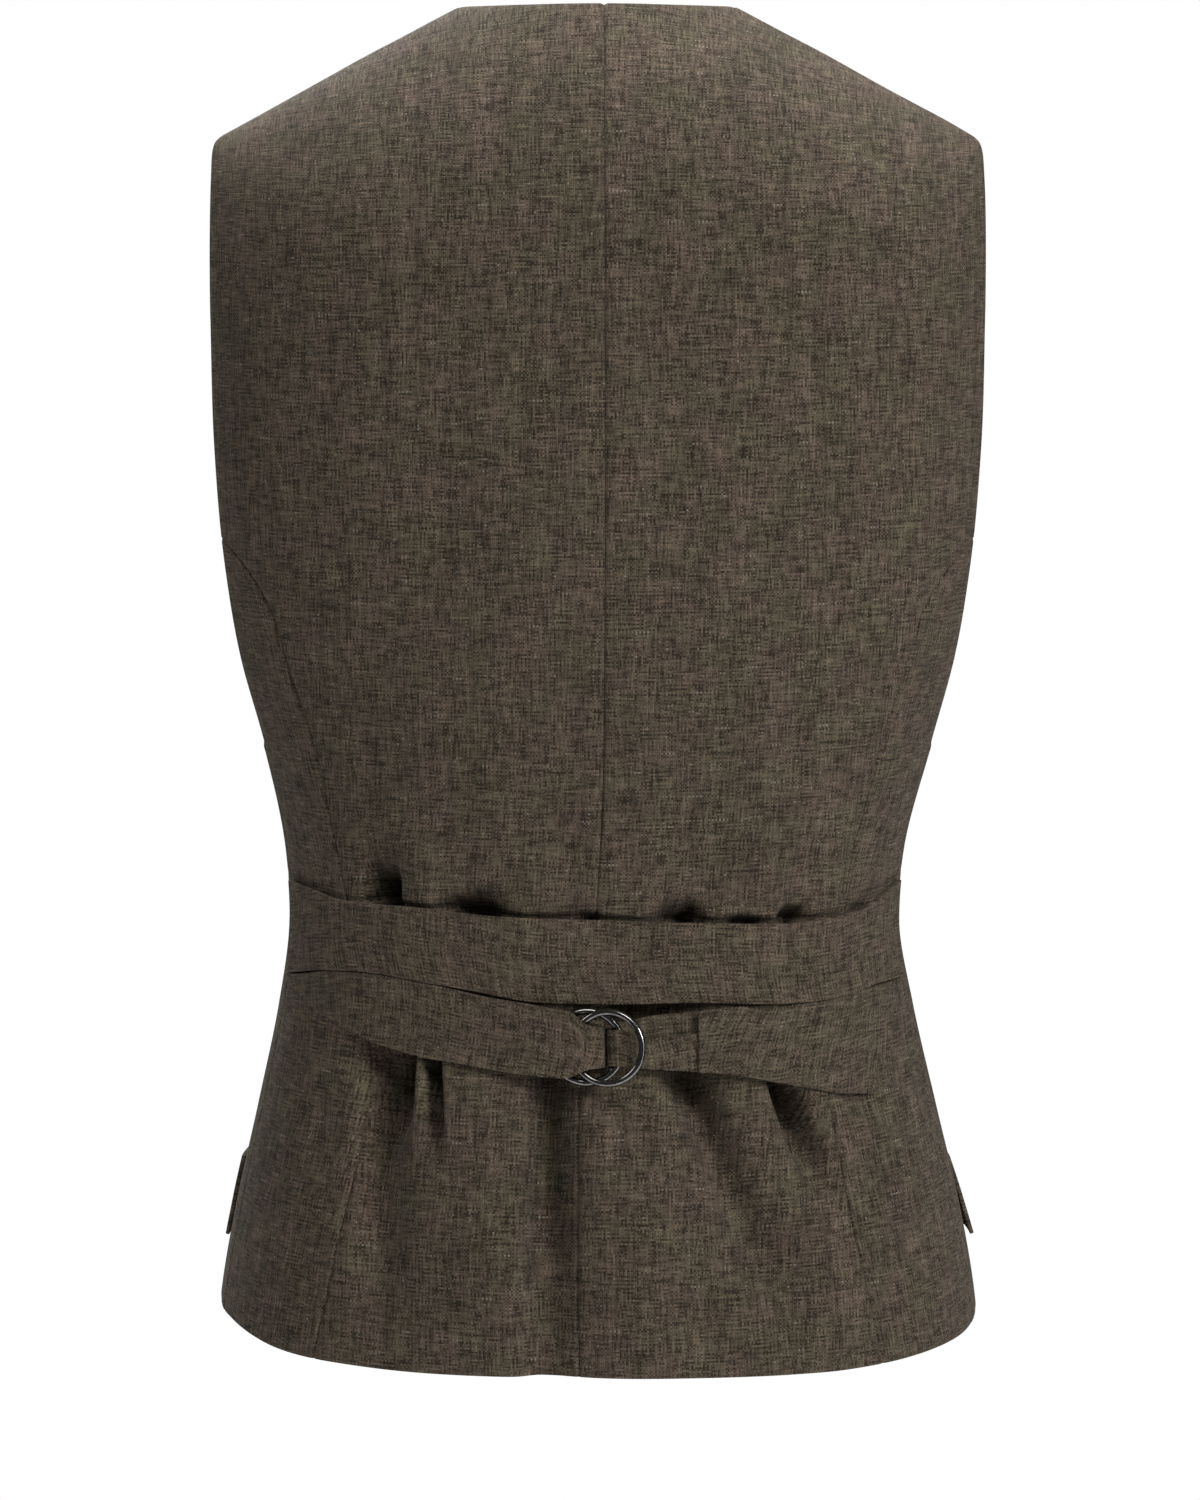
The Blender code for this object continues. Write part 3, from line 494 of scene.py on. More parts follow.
def make_linen_group():
    """Plain-woven uneven yarns with slubs, as a group that several materials use."""
    tree = bpy.data.node_groups.new("linen_weave", "ShaderNodeTree")
    for name, way, kind in LINEN_PORTS:
        tree.interface.new_socket(name, in_out=way, socket_type=f"NodeSocket{kind}")
    given = tree.nodes.new("NodeGroupInput").outputs
    metres = given["Metres"]
    tone, slub, yarn_body = weave_yarns(tree, metres, given["Yarn"])
    threads = [soft_noise(tree, stretch(tree, metres, rates), 1.0, 3.0) for rates in THREADS]
    grain = calculate(tree, "MULTIPLY", calculate(tree, "ADD", *threads), 0.5)
    thread_share = calculate(tree, "MULTIPLY", grain, 1.0 - YARN_SHARE)
    mixed = calculate(tree, "MULTIPLY_ADD", tone, YARN_SHARE, thread_share)
    cloth = blend_colour(tree, rescale(tree, mixed, *CLOTH_RANGE), given["Dark"], given["Light"])
    dye = uneven_dye(tree, metres, given["Mottle"])
    mottled = blend_colour(tree, 1.0, cloth, dye, "MULTIPLY")
    fleck = calculate(tree, "MULTIPLY", slub, given["Slubs"])
    cover = calculate(tree, "MULTIPLY", fleck, SLUB_COVER)
    height = calculate(tree, "MULTIPLY_ADD", fleck, FLECK_HEIGHT, yarn_body)
    result = tree.nodes.new("NodeGroupOutput")
    set_sockets(tree, result.inputs, {
        "Color": blend_colour(tree, cover, mottled, given["Slub Colour"]),
        "Roughness": rescale(tree, mixed, 0.3, 0.7, 0.93, 0.82),
        "Height": calculate(tree, "MULTIPLY_ADD", grain, THREAD_HEIGHT, height),
    })
    return tree


LINEN_GROUP = make_linen_group()
print("linen weave group:", len(LINEN_GROUP.nodes), "nodes")

# %% Linen materials
LINEN_DARK = (0.026, 0.0200, 0.0136, 1.0)
LINEN_LIGHT = (0.165, 0.1280, 0.0900, 1.0)
LINEN_SLUB = (0.330, 0.290, 0.235, 1.0)
YARN_WIDTH = 0.0008
WEAVE_BUMP = 0.00018


def linen(name, slubs, mottle):
    """A linen material whose weave follows the piece's own UV map."""
    material, tree, shader = new_material(name)
    weave = add_node(tree, "ShaderNodeGroup", {
        "Metres": add_node(tree, "ShaderNodeUVMap", uv_map="grain").outputs["UV"],
        "Yarn": YARN_WIDTH, "Slubs": slubs, "Mottle": mottle,
        "Dark": LINEN_DARK, "Light": LINEN_LIGHT, "Slub Colour": LINEN_SLUB,
    }, node_tree=LINEN_GROUP).outputs
    sockets = {"Height": weave["Height"], "Distance": WEAVE_BUMP, "Strength": 0.7}
    set_sockets(tree, shader, {
        "Sheen Weight": 0.04, "Sheen Roughness": 0.6, "Specular IOR Level": 0.12,
        "Base Color": weave["Color"], "Roughness": weave["Roughness"],
        "Normal": add_node(tree, "ShaderNodeBump", sockets).outputs["Normal"],
    })
    return material


BODY_LINEN = linen("body_linen", 1.0, 1.0)
BELT_LINEN = linen("belt_linen", 0.7, 0.8)
print("linen materials:", BODY_LINEN.name, BELT_LINEN.name)

# %% [markdown]
# A sheet of cloth starts as a flat grid, as cloth lies on the cutting table, and each point of
# the grid is moved to its place on the body. Solidify gives it thickness and a small bevel rounds
# the cut edges. Its UV map is the flat cloth itself: metres across and along the grain, measured
# on the finished shape. That also says how large the piece was cut.

# %% Laying cloth
CLOTH = 0.0016
EDGE_ROUNDING = 0.0004
EDGE_SEGMENTS = 2
SHARP_ANGLE = math.radians(60.0)
EDGE_POINTS = (0.0004, 0.0008, 0.0013, 0.0021, 0.0034)


def lengths(points, axis):
    """Distances along one direction of a grid of points, from its first line."""
    steps = np.linalg.norm(np.diff(points, axis=axis), axis=-1)
    start = np.zeros_like(np.take(steps, [0], axis=axis))
    return np.cumsum(np.concatenate([start, steps], axis=axis), axis=axis)


def flat_grain(points):
    """Metres across and along the grain of a small straight piece."""
    return np.stack([lengths(points, 1), lengths(points, 0)], axis=-1)


ARC_LEVELS = np.linspace(-0.50, 0.0, 101)
ARC_ANGLES = np.linspace(0.0, math.pi, 721)
ARCS = lengths(form_point(ARC_ANGLES[None, :], ARC_LEVELS[:, None]), 1)
LAST_CELL = 1.001
CAP_STEPS = np.linspace(0.0, 1.0, 13)


def round_the_body(angle, level):
    """How far round the form an angle lies from the centre back, in metres."""
    past_front = np.abs(angle) > math.pi
    folded = np.where(past_front, 2 * math.pi - np.abs(angle), np.abs(angle))
    row = (level - ARC_LEVELS[0]) / (ARC_LEVELS[1] - ARC_LEVELS[0])
    row = np.clip(row, 0.0, len(ARC_LEVELS) - LAST_CELL)
    column = np.clip(folded / ARC_ANGLES[1], 0.0, len(ARC_ANGLES) - LAST_CELL)
    i, j = row.astype(int), column.astype(int)
    low = between(ARCS[i, j], ARCS[i, j + 1], column - j)
    high = between(ARCS[i + 1, j], ARCS[i + 1, j + 1], column - j)
    around = between(low, high, row - i)
    halfway = between(ARCS[i, -1], ARCS[i + 1, -1], row - i)
    return np.sign(angle) * np.where(past_front, 2.0 * halfway - around, around)


def body_grain(angle, level, grain_line):
    """Metres across the grain from a grain line, and along it from the blade line."""
    threads = round_the_body(angle, level) - grain_line[:, None]
    path = [form_point(angle, np.maximum(level, 0.0) * share) for share in CAP_STEPS]
    climbed = sum(np.linalg.norm(high - low, axis=-1) for low, high in zip(path, path[1:]))
    return np.stack([threads, np.minimum(level, 0.0) + climbed], axis=-1)


def close_to_edges(count, width):
    """Shares from 0 to 1 that lie close together near both ends of a width in metres."""
    near = np.array(EDGE_POINTS) / width
    inner = np.linspace(near[-1], 1.0 - near[-1], count)
    return np.concatenate([[0.0], near[:-1], inner, 1.0 - near[-2::-1], [1.0]])


def new_object(name, made, material):
    """An object of a finished bmesh, with one material."""
    mesh = bpy.data.meshes.new(name)
    made.to_mesh(mesh)
    made.free()
    mesh.materials.append(material)
    piece = bpy.data.objects.new(name, mesh)
    bpy.context.scene.collection.objects.link(piece)
    return piece


def lay_cloth(name, points, outward, material, thickness=CLOTH, offset=-1.0, grain=None):
    """An object made of a flat grid that is laid on a grid of points."""
    rows, columns = points.shape[:2]
    cloth = bmesh.new()
    grain_layer = cloth.loops.layers.uv.new("grain")
    bmesh.ops.create_grid(cloth, x_segments=columns - 1, y_segments=rows - 1, size=0.5)
    flat = np.array([vertex.co[:2] for vertex in cloth.verts]) + 0.5
    column = np.rint(flat[:, 0] * (columns - 1)).astype(int)
    row = np.rint(flat[:, 1] * (rows - 1)).astype(int)
    grain = flat_grain(points) if grain is None else grain
    for vertex, i, j in zip(cloth.verts, row, column):
        vertex.co = points[i, j] + np.array([0.0, 0.0, NECK_RISE])
        vertex.index = i * columns + j
    for face in cloth.faces:
        face.smooth = True
        for loop in face.loops:
            loop[grain_layer].uv = grain[divmod(loop.vert.index, columns)]
    corner = np.cross(points[0, 1] - points[0, 0], points[1, 0] - points[0, 0])
    if corner @ outward[0, 0] < 0.0:
        bmesh.ops.reverse_faces(cloth, faces=cloth.faces)
    piece = new_object(name, cloth, material)
    wall = piece.modifiers.new("thickness", "SOLIDIFY")
    wall.thickness = thickness
    wall.offset = offset
    edge = piece.modifiers.new("edges", "BEVEL")
    edge.width = EDGE_ROUNDING
    edge.segments = EDGE_SEGMENTS
    edge.limit_method = "ANGLE"
    edge.angle_limit = SHARP_ANGLE
    return piece


def declare_cloth(piece, node):
    """Attaches a cloth piece to the root and hides the frame's solid that it replaces."""
    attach(piece, "root")
    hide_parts(node)


# %% [markdown]
# Pressed seams. Where two panels are sewn, both edges turn in and sink a little, which leaves a
# fine groove. A real seam could be cut with an inset, but a row of points close to each edge and
# a small dip there gives the same soft groove, and it also rounds the turned edge of an armhole.

# %% Seams and panels
BELT_GAP = 0.0003
SEAM_DEPTH = 0.0009
SEAM_WIDTH = 0.0008
TURNED_EDGE_DEPTH = 0.0004
SEAM_END_ROWS = 8
TOP_EDGE_REACH = 0.5
BOTTOM_EDGE_REACH = 0.35
LEFT = 1
RIGHT = -1
SIDES = (("left", LEFT), ("right", RIGHT))


def dip(distance, depth):
    """How far the cloth sinks at a distance from a seam or a turned edge."""
    return -depth * np.exp(-((distance / SEAM_WIDTH) ** 2))


def seam_then_edge(seam_rows, edge_rows):
    """How deep each row of a panel's side sinks: a seam that runs out into a turned edge."""
    above = np.arange(seam_rows + edge_rows) - seam_rows
    share = np.clip(above / SEAM_END_ROWS + 1.0, 0.0, 1.0)[:, None]
    return between(SEAM_DEPTH, TURNED_EDGE_DEPTH, share)


def panel_places(left, right, top, bottom, shares):
    """Angles and levels of a panel whose rows join its left and right edges."""
    place = np.linspace(0.0, 1.0, len(left[0]))[:, None]
    toward_top = np.clip(1.0 - (1.0 - place) / TOP_EDGE_REACH, 0.0, 1.0) ** 2
    toward_bottom = np.clip(1.0 - place / BOTTOM_EDGE_REACH, 0.0, 1.0) ** 2
    grids = []
    for left_edge, right_edge, top_edge, bottom_edge in zip(left, right, top, bottom):
        across = between(left_edge[:, None], right_edge[:, None], shares)
        top_shape, bottom_shape = top_edge - across[-1], bottom_edge - across[0]
        grids.append(across + toward_top * top_shape + toward_bottom * bottom_shape)
    return grids


def lay_panel(part, label, places, left, right, grain_line, lift=None):
    """A panel of the body with its folds, ripples and sunk edges, laid and declared."""
    points = cloth_point(*places)
    outward = form_normal(*places, cloth_point)
    across, along = lengths(points, 1), lengths(points, 0)
    moved = ripple(points) + dip(across, left) + dip(across[:, -1:] - across, right)
    moved += dip(along, TURNED_EDGE_DEPTH) + dip(along[-1:] - along, TURNED_EDGE_DEPTH)
    if lift is not None:
        moved += lift(points[..., 0])
    points += moved[..., None] * outward
    grain = body_grain(*places, grain_line)
    piece = lay_cloth(f"linen_{part}_{label}", points, outward, BODY_LINEN, grain=grain)
    declare_cloth(piece, f"{part}_{label}")


# %% [markdown]
# The two halves of the back. Each runs from the centre back seam out to the princess seam, the
# curved seam that shapes a fitted back, and above it to the armhole. A pattern cutter draws the
# four edges as curves, and so does this step: rows of points join the left edge to the right one,
# and the shapes of the neck, the shoulder and the hem fade out over the rows next to them.

# %% Seam lines of the back
SHOULDER_SEAM_LEVEL = CAP_LEVEL
UNDERARM_HEIGHT = -0.322
UNDERARM_LEVEL = UNDERARM_HEIGHT - BLADE_HEIGHT
SHOULDER_TIP_ANGLE = 69.5

HEM_LINE = table((
    # x, height
    (-170, -570), (-120, -571), (-50, -570), (30, -569), (100, -569), (142, -567.5),
    (160, -564.5),
), MM)
CENTRE_BACK_SEAM = table((
    # height, x
    (-575, 8), (-500, 8.5), (-455, 7), (-400, 0.5), (-360, -1.5), (-300, -2.5), (0, -2.8),
), MM)
PRINCESS_SEAM = table((
    # height, x
    (-575, 121.5), (-535, 113), (-500, 106), (-465, 99.5), (-430, 98.5), (-390, 103),
    (-347, 112.5), (-312, 120.5), (-277, 131.5), (-255, 138.5), (-241, 147.5), (-225, 164),
), MM)
SIDE_SEAM = table((
    # height, angle
    (-0.575, 76.0), (-0.4, 78.0), (UNDERARM_HEIGHT, 80.0),
))
ARMHOLE_BACK = table((
    # level, angle
    (UNDERARM_LEVEL, 80.0), (-0.172, 77.2), (-0.13, 75.4), (-0.095, 75.0), (0.0, 75.0),
    (0.08, 75.0), (0.115, 74.2), (0.13, 72.5), (CAP_LEVEL, SHOULDER_TIP_ANGLE),
))


def hem_level(x):
    """Level of the hem line at a sideways place."""
    return smooth(*HEM_LINE, x) - BLADE_HEIGHT


def princess_angles(levels):
    """Angles of the princess seam at some levels."""
    return angle_at(smooth(*PRINCESS_SEAM, levels + BLADE_HEIGHT), levels)


def armhole_back_angles(levels):
    """Angles of the armhole's edge on the back at some levels."""
    return np.radians(smooth(*ARMHOLE_BACK, levels))


def side_angles(levels):
    """Angles of the side seam at some levels."""
    return np.radians(smooth(*SIDE_SEAM, levels + BLADE_HEIGHT))


def hem_row(left_angle, right_angle, shares, side, drop=0.0):
    """Angles and levels of a panel's hem between two angles."""
    angles = between(left_angle, right_angle, shares)
    x = form_point(angles, np.full_like(shares, HEM_LINE[1].min() - BLADE_HEIGHT))[:, 0]
    below = drop(x) if callable(drop) else drop
    return angles, hem_level(side * x) - below


SEARCHED_LEVELS = np.linspace(-0.120, -0.080, 801)
SIDE_BACK_TOP_DROP = 0.0050
apart = princess_angles(SEARCHED_LEVELS) - armhole_back_angles(SEARCHED_LEVELS)
PRINCESS_TOP_LEVEL = float(np.interp(0.0, apart, SEARCHED_LEVELS))
SIDE_BACK_TOP_LEVEL = PRINCESS_TOP_LEVEL - SIDE_BACK_TOP_DROP
print("the princess seam meets the armhole at height", round(PRINCESS_TOP_LEVEL + BLADE_HEIGHT, 4))


# %% Back panels
BELT_HEIGHTS = (-0.396, -0.373)
ROWS_BELOW_BELT = 88
ROWS_AT_BELT = 36
ROWS_ABOVE_BELT = 26
ROWS_TO_UNDERARM = ROWS_BELOW_BELT + ROWS_AT_BELT + ROWS_ABOVE_BELT
ROWS_TO_PRINCESS_TOP = 50
ROWS_TO_SHOULDER = 80
BACK_COLUMNS = 128
SIDE_BACK_COLUMNS = 22
SIDE_BACK_MIDDLE = SIDE_BACK_COLUMNS // 2 + len(EDGE_POINTS)
SIDE_BACK_HEM_X = 0.14
SIDE_BACK_WIDTH = 0.062


def rising(low, high, count):
    """Evenly spaced levels above a low one, up to a high one."""
    return np.linspace(low, high, count + 1)[1:]


def levels_to_underarm(hem):
    """Levels from the hem to the underarm, close together where the belt pulls the cloth in."""
    low, high = np.array(BELT_HEIGHTS) - BLADE_HEIGHT
    return np.concatenate([
        np.linspace(hem, low, ROWS_BELOW_BELT),
        rising(low, high, ROWS_AT_BELT),
        rising(high, UNDERARM_LEVEL, ROWS_ABOVE_BELT),
    ])


def back_places(side):
    """Angles and levels of one half of the back."""
    centre_x = side * CENTRE_BACK_SEAM[1][-1]
    start = angle_at(np.array(centre_x), np.array(0.0))
    tip = math.radians(SHOULDER_TIP_ANGLE)
    neck = angle_at(np.array(NECK_HALF_WIDTH), np.array(0.0))
    shares = close_to_edges(BACK_COLUMNS, section(np.array(BLADE_HEIGHT))[1] * math.sin(tip))
    neck_share = (neck - start) / (tip - start)
    shares[np.argmin(np.abs(shares - neck_share))] = neck_share
    top_angles = between(start, tip, shares)
    top_x = form_point(top_angles, np.zeros_like(shares))[:, 0]
    top_levels = np.minimum(level_at(top_x, np.full_like(top_x, NECK_HEIGHT)), SHOULDER_SEAM_LEVEL)

    hem_start = hem_level(side * CENTRE_BACK_SEAM[1][0])
    hem_end = hem_level(side * PRINCESS_SEAM[1][0])
    right_low = np.concatenate([
        levels_to_underarm(hem_end),
        rising(UNDERARM_LEVEL, PRINCESS_TOP_LEVEL, ROWS_TO_PRINCESS_TOP),
    ])
    right_high = rising(PRINCESS_TOP_LEVEL, SHOULDER_SEAM_LEVEL, ROWS_TO_SHOULDER)
    low_angles = np.minimum(princess_angles(right_low), armhole_back_angles(right_low))
    right_angles = np.concatenate([low_angles, armhole_back_angles(right_high)])
    right = right_angles, np.concatenate([right_low, right_high])
    left_levels = np.concatenate([
        levels_to_underarm(hem_start),
        rising(UNDERARM_LEVEL, top_levels[0], ROWS_TO_PRINCESS_TOP + ROWS_TO_SHOULDER),
    ])
    seam_x = smooth(*CENTRE_BACK_SEAM, BLADE_HEIGHT + np.minimum(left_levels, 0.0))
    left = angle_at(side * seam_x, left_levels), left_levels
    bottom = hem_row(left[0][0], right[0][0], shares, side)
    angle, level = panel_places(left, right, (top_angles, top_levels), bottom, shares)
    return side * angle, level


def side_back_places(side):
    """Angles and levels of the narrow panel between the princess seam and the side seam."""
    low = levels_to_underarm(hem_level(side * SIDE_BACK_HEM_X))
    left_high = rising(UNDERARM_LEVEL, SIDE_BACK_TOP_LEVEL, ROWS_TO_PRINCESS_TOP)
    levels = np.concatenate([low, left_high])
    left = princess_angles(levels), levels
    high = rising(UNDERARM_LEVEL, PRINCESS_TOP_LEVEL, ROWS_TO_PRINCESS_TOP)
    right_angles = np.concatenate([side_angles(low), armhole_back_angles(high)])
    right = right_angles, np.concatenate([low, high])
    shares = close_to_edges(SIDE_BACK_COLUMNS, SIDE_BACK_WIDTH)
    top_levels = between(SIDE_BACK_TOP_LEVEL, PRINCESS_TOP_LEVEL, shares)
    top = princess_angles(top_levels), top_levels
    bottom = hem_row(left[0][0], right[0][0], shares, side)
    angle, level = panel_places(left, right, top, bottom, shares)
    return side * angle, level


back_edge = seam_then_edge(ROWS_TO_UNDERARM + ROWS_TO_PRINCESS_TOP, ROWS_TO_SHOULDER)
side_edge = seam_then_edge(ROWS_TO_UNDERARM, ROWS_TO_PRINCESS_TOP)
for label, side in SIDES:
    for part, (angles, levels), column, outer_edge, rests_on in (
        ("back", back_places(side), 0, back_edge, "side_back"),
        ("side_back", side_back_places(side), SIDE_BACK_MIDDLE, side_edge, "back"),
    ):
        grain_line = round_the_body(angles[:, column], levels[:, column])
        lay_panel(part, label, (angles, levels), SEAM_DEPTH, outer_edge, grain_line)

# %% [markdown]
# The fronts. The photograph shows only a strip of each beside the armholes, so the rest is a
# plain waistcoat front: a V neck, a lap of three centimetres for the buttons and two points at
# the hem. The wearer's right front lies over the left one, so it rises by the cloth's thickness
# before it reaches the middle.

# %% Seam lines of the fronts
BUTTON_WRAP = 0.015
LAP_GAP = 0.0008
LAP_RAMP = 0.027
FRONT_ROWS_TO_UNDERARM = 110
ROWS_TO_TOP_BUTTON = 34
ROWS_OF_NECKLINE = 132
FRONT_COLUMNS = 96
FRONT_WIDTH = 0.21
SIDE_SEAM_HEM_X = 0.165
SIDE_SEAM_OVERLAP = math.radians(0.3)
OVERLAP_END = 0.03

ARMHOLE_FRONT = table((
    # angle, level, from the side seam under the arm and up to the shoulder
    (80.0, -0.192), (84.0, -0.1914), (90.0, -0.1895), (97.0, -0.184), (103.0, -0.174),
    (109.0, -0.153), (113.0, -0.122), (115.0, -0.075), (115.5, -0.02), (114.5, 0.045),
    (113.0, 0.095), (180.0 - SHOULDER_TIP_ANGLE, CAP_LEVEL),
))
FRONT_NECKLINE = table((
    # x, height, from the top button up to the neck point
    (-0.015, -0.256), (-0.006, -0.238), (0.006, -0.21), (0.0185, -0.172), (0.03, -0.13),
    (0.04, -0.087), (0.048, -0.048), (0.0545, -0.02), (NECK_HALF_WIDTH, NECK_HEIGHT),
))
FRONT_POINT_X = 0.0508
HEM_TO_POINT = table((
    # x, how far the front reaches below the hem line
    (-0.015, 0.011), (0.0236, 0.02), (FRONT_POINT_X, 0.029),
))
HEM_PAST_POINT = table((
    # x, how far the front reaches below the hem line
    (FRONT_POINT_X, 0.029), (0.0741, 0.02), (0.1128, 0.0065), (0.1416, 0.0012), (0.17, 0.0),
))


def along_curve(columns, count):
    """Points spaced evenly along a smooth curve through a two-column table."""
    first, second = columns
    steps = np.hypot(np.diff(first) / np.ptp(first), np.diff(second) / np.ptp(second))
    place = np.concatenate([[0.0], np.cumsum(steps)])
    wanted = np.linspace(0.0, place[-1], count)
    return smooth(place, first, wanted), smooth(place, second, wanted)


def front_drop(x):
    """How far a front reaches below the hem line at a sideways place."""
    return np.where(x < FRONT_POINT_X, smooth(*HEM_TO_POINT, x), smooth(*HEM_PAST_POINT, x))


def lap(x):
    """How far the right front rises to lie on the left one."""
    share = np.clip((x + BUTTON_WRAP + LAP_GAP + LAP_RAMP) / LAP_RAMP, 0.0, 1.0)
    return (CLOTH + LAP_GAP) * share * share * (3.0 - 2.0 * share)


# %% Fronts
def front_places(side):
    """Angles and levels of one front, from its side seam to its button edge."""
    arm_degrees, arm_levels = along_curve(ARMHOLE_FRONT, ROWS_TO_TOP_BUTTON + ROWS_OF_NECKLINE + 1)
    arm_levels = np.minimum(arm_levels, SHOULDER_SEAM_LEVEL)
    hem = hem_level(side * SIDE_SEAM_HEM_X)
    side_low = np.linspace(hem, UNDERARM_LEVEL, FRONT_ROWS_TO_UNDERARM)
    left_levels = np.concatenate([side_low, arm_levels[1:]])
    overlap = SIDE_SEAM_OVERLAP * np.clip((UNDERARM_LEVEL - side_low) / OVERLAP_END, 0.0, 1.0)
    low_angles = side_angles(side_low) - overlap
    left = np.concatenate([low_angles, np.radians(arm_degrees[1:])]), left_levels

    neck_x, neck_heights = along_curve(FRONT_NECKLINE, ROWS_OF_NECKLINE)
    top_button_level = FRONT_NECKLINE[1][0] - BLADE_HEIGHT
    edge_bottom = hem_level(-side * BUTTON_WRAP) - HEM_TO_POINT[1][0]
    edge_levels = np.concatenate([
        np.linspace(edge_bottom, UNDERARM_LEVEL, FRONT_ROWS_TO_UNDERARM),
        np.linspace(UNDERARM_LEVEL, top_button_level, ROWS_TO_TOP_BUTTON + 2)[1:-1],
    ])
    neck_levels = np.minimum(level_at(neck_x, neck_heights), SHOULDER_SEAM_LEVEL)
    right_levels = np.concatenate([edge_levels, neck_levels])
    right_x = np.concatenate([np.full_like(edge_levels, -BUTTON_WRAP), neck_x])
    right = angle_at(right_x, right_levels, facing_front=True), right_levels

    shares = close_to_edges(FRONT_COLUMNS, FRONT_WIDTH)
    point_angle = angle_at(np.array(FRONT_POINT_X), right_levels[0], facing_front=True)
    point_share = (point_angle - left[0][0]) / (right[0][0] - left[0][0])
    shares[np.argmin(np.abs(shares - point_share))] = point_share
    top_angles = between(left[0][-1], right[0][-1], shares)
    top = top_angles, np.full_like(shares, SHOULDER_SEAM_LEVEL)
    bottom = hem_row(left[0][0], right[0][0], shares, side, front_drop)
    angle, level = panel_places(left, right, top, bottom, shares)
    return side * angle, level


for label, side in SIDES:
    places = front_places(side)
    side_edge = seam_then_edge(FRONT_ROWS_TO_UNDERARM, ROWS_TO_TOP_BUTTON + ROWS_OF_NECKLINE)
    centre_front = round_the_body(np.full(len(places[0]), side * math.pi), places[1][:, -1])
    lift = lap if side == RIGHT else None
    lay_panel("front", label, places, side_edge, TURNED_EDGE_DEPTH, centre_front, lift)

# %% [markdown]
# The half belt. A double band of linen lies across the waist from side seam to side seam and
# holds the gathers. It is a sheet too, a little thicker, laid straight on the ungathered form so
# that the pits above and below it stay open.

# %% Half belt
BAND_THICKNESS = 0.0021
BAND_END_ANGLE = 75.0
BAND_WIDTH = 0.04
BAND_ROWS = 26
BAND_COLUMNS = 180
angle = np.radians(np.linspace(-BAND_END_ANGLE, BAND_END_ANGLE, BAND_COLUMNS))
x = form_point(angle, np.full_like(angle, WAIST_HEIGHT - BLADE_HEIGHT))[:, 0]
shares = close_to_edges(BAND_ROWS, BAND_WIDTH)[:, None]
level = between(smooth(*BAND_BOTTOM, x), smooth(*BAND_TOP, x), shares) - BLADE_HEIGHT
angles = np.broadcast_to(angle, level.shape)
outward = form_normal(angles, level)
inner = form_point(angles, level) + BELT_GAP * outward
points = inner + (BAND_THICKNESS + ripple(inner))[..., None] * outward
piece = lay_cloth("linen_half_belt", points, outward, BELT_LINEN, thickness=BAND_THICKNESS)
declare_cloth(piece, "back_band")

# %% [markdown]
# The belt straps. The left one runs to the rings, wraps round their wires and comes back under
# itself. The tongue of the right strap goes round the lower ring. A strap is drawn as a path seen
# from above: how far along the waist, how far off the back, and the heights of its two edges. At
# its outer end it turns a little, so that its lower edge sinks into the side of the back.

# %% Belt straps
STRAP_ROWS = 26
STRAP_WIDTH = 0.027
STRAP_STEP = 0.0010
LEFT_STRAP = table((
    # x, lift of the cloth's middle at its top and at its bottom, top height, bottom height
    (132.5, 1.6, -1, -417.7, -422.5),
    (125, 1.6, -1, -414.8, -426.2),
    (115, 1.6, -0.7, -411.3, -430),
    (105.9, 1.6, 0.2, -409.8, -433.6),
    (98.2, 1.5, 0.9, -409.1, -436.1),
    (88, 1.3, 1.1, -409.1, -438.5),
    (74, 1.2, 1.2, -410.1, -441.4),
    (58, 1.4, 1.4, -412.8, -443.2),
    (45, 2.3, 2.3, -415.2, -445),
    (34, 3.9, 3.9, -416.6, -446.6),
    (26, 5.7, 5.7, -417.7, -447.5),
    (19, 6.9, 6.9, -419, -448),
    (13, 7.6, 7.6, -420, -448.4),
    (9, 8.1, 8.1, -421, -447.5),
    (6, 8.3, 8.3, -424, -446),
    (3, 7.4, 7.4, -426.2, -444.8),
    (0, 6.2, 6.2, -426.6, -444.4),
    (-2.5, 4.6, 4.6, -427, -444),
    (-3.4, 3.2, 3.2, -427.2, -443.8),
    (-2.5, 1.9, 1.9, -427, -444),
    (0, 1.2, 1.2, -426.2, -444.6),
    (6, 1.1, 1.1, -424, -446.2),
    (18, 1.1, 1.1, -422, -447),
    (30, 1.1, 1.1, -421, -446),
), MM)
RIGHT_STRAP = table((
    # x, lift of the cloth's middle at its top and at its bottom, top height, bottom height
    (-131, -1.2, -1.8, -419.1, -464),
    (-124, 0.8, -1.6, -418.4, -463),
    (-118, 1.4, -1.1, -418, -461.8),
    (-111, 1.5, -0.4, -418.7, -460.3),
    (-101, 1.4, 0.6, -420.2, -458.8),
    (-93, 1.3, 1.1, -420.6, -456.5),
    (-84, 1.2, 1.2, -420.7, -454.3),
    (-76, 2, 2, -421.8, -452.3),
    (-68, 3.6, 3.6, -421.3, -450.6),
    (-60, 4.4, 4.4, -419.9, -448.7),
    (-51, 4.4, 4.4, -420.4, -447.3),
    (-42.4, 4.4, 4.4, -421, -446.6),
), MM)
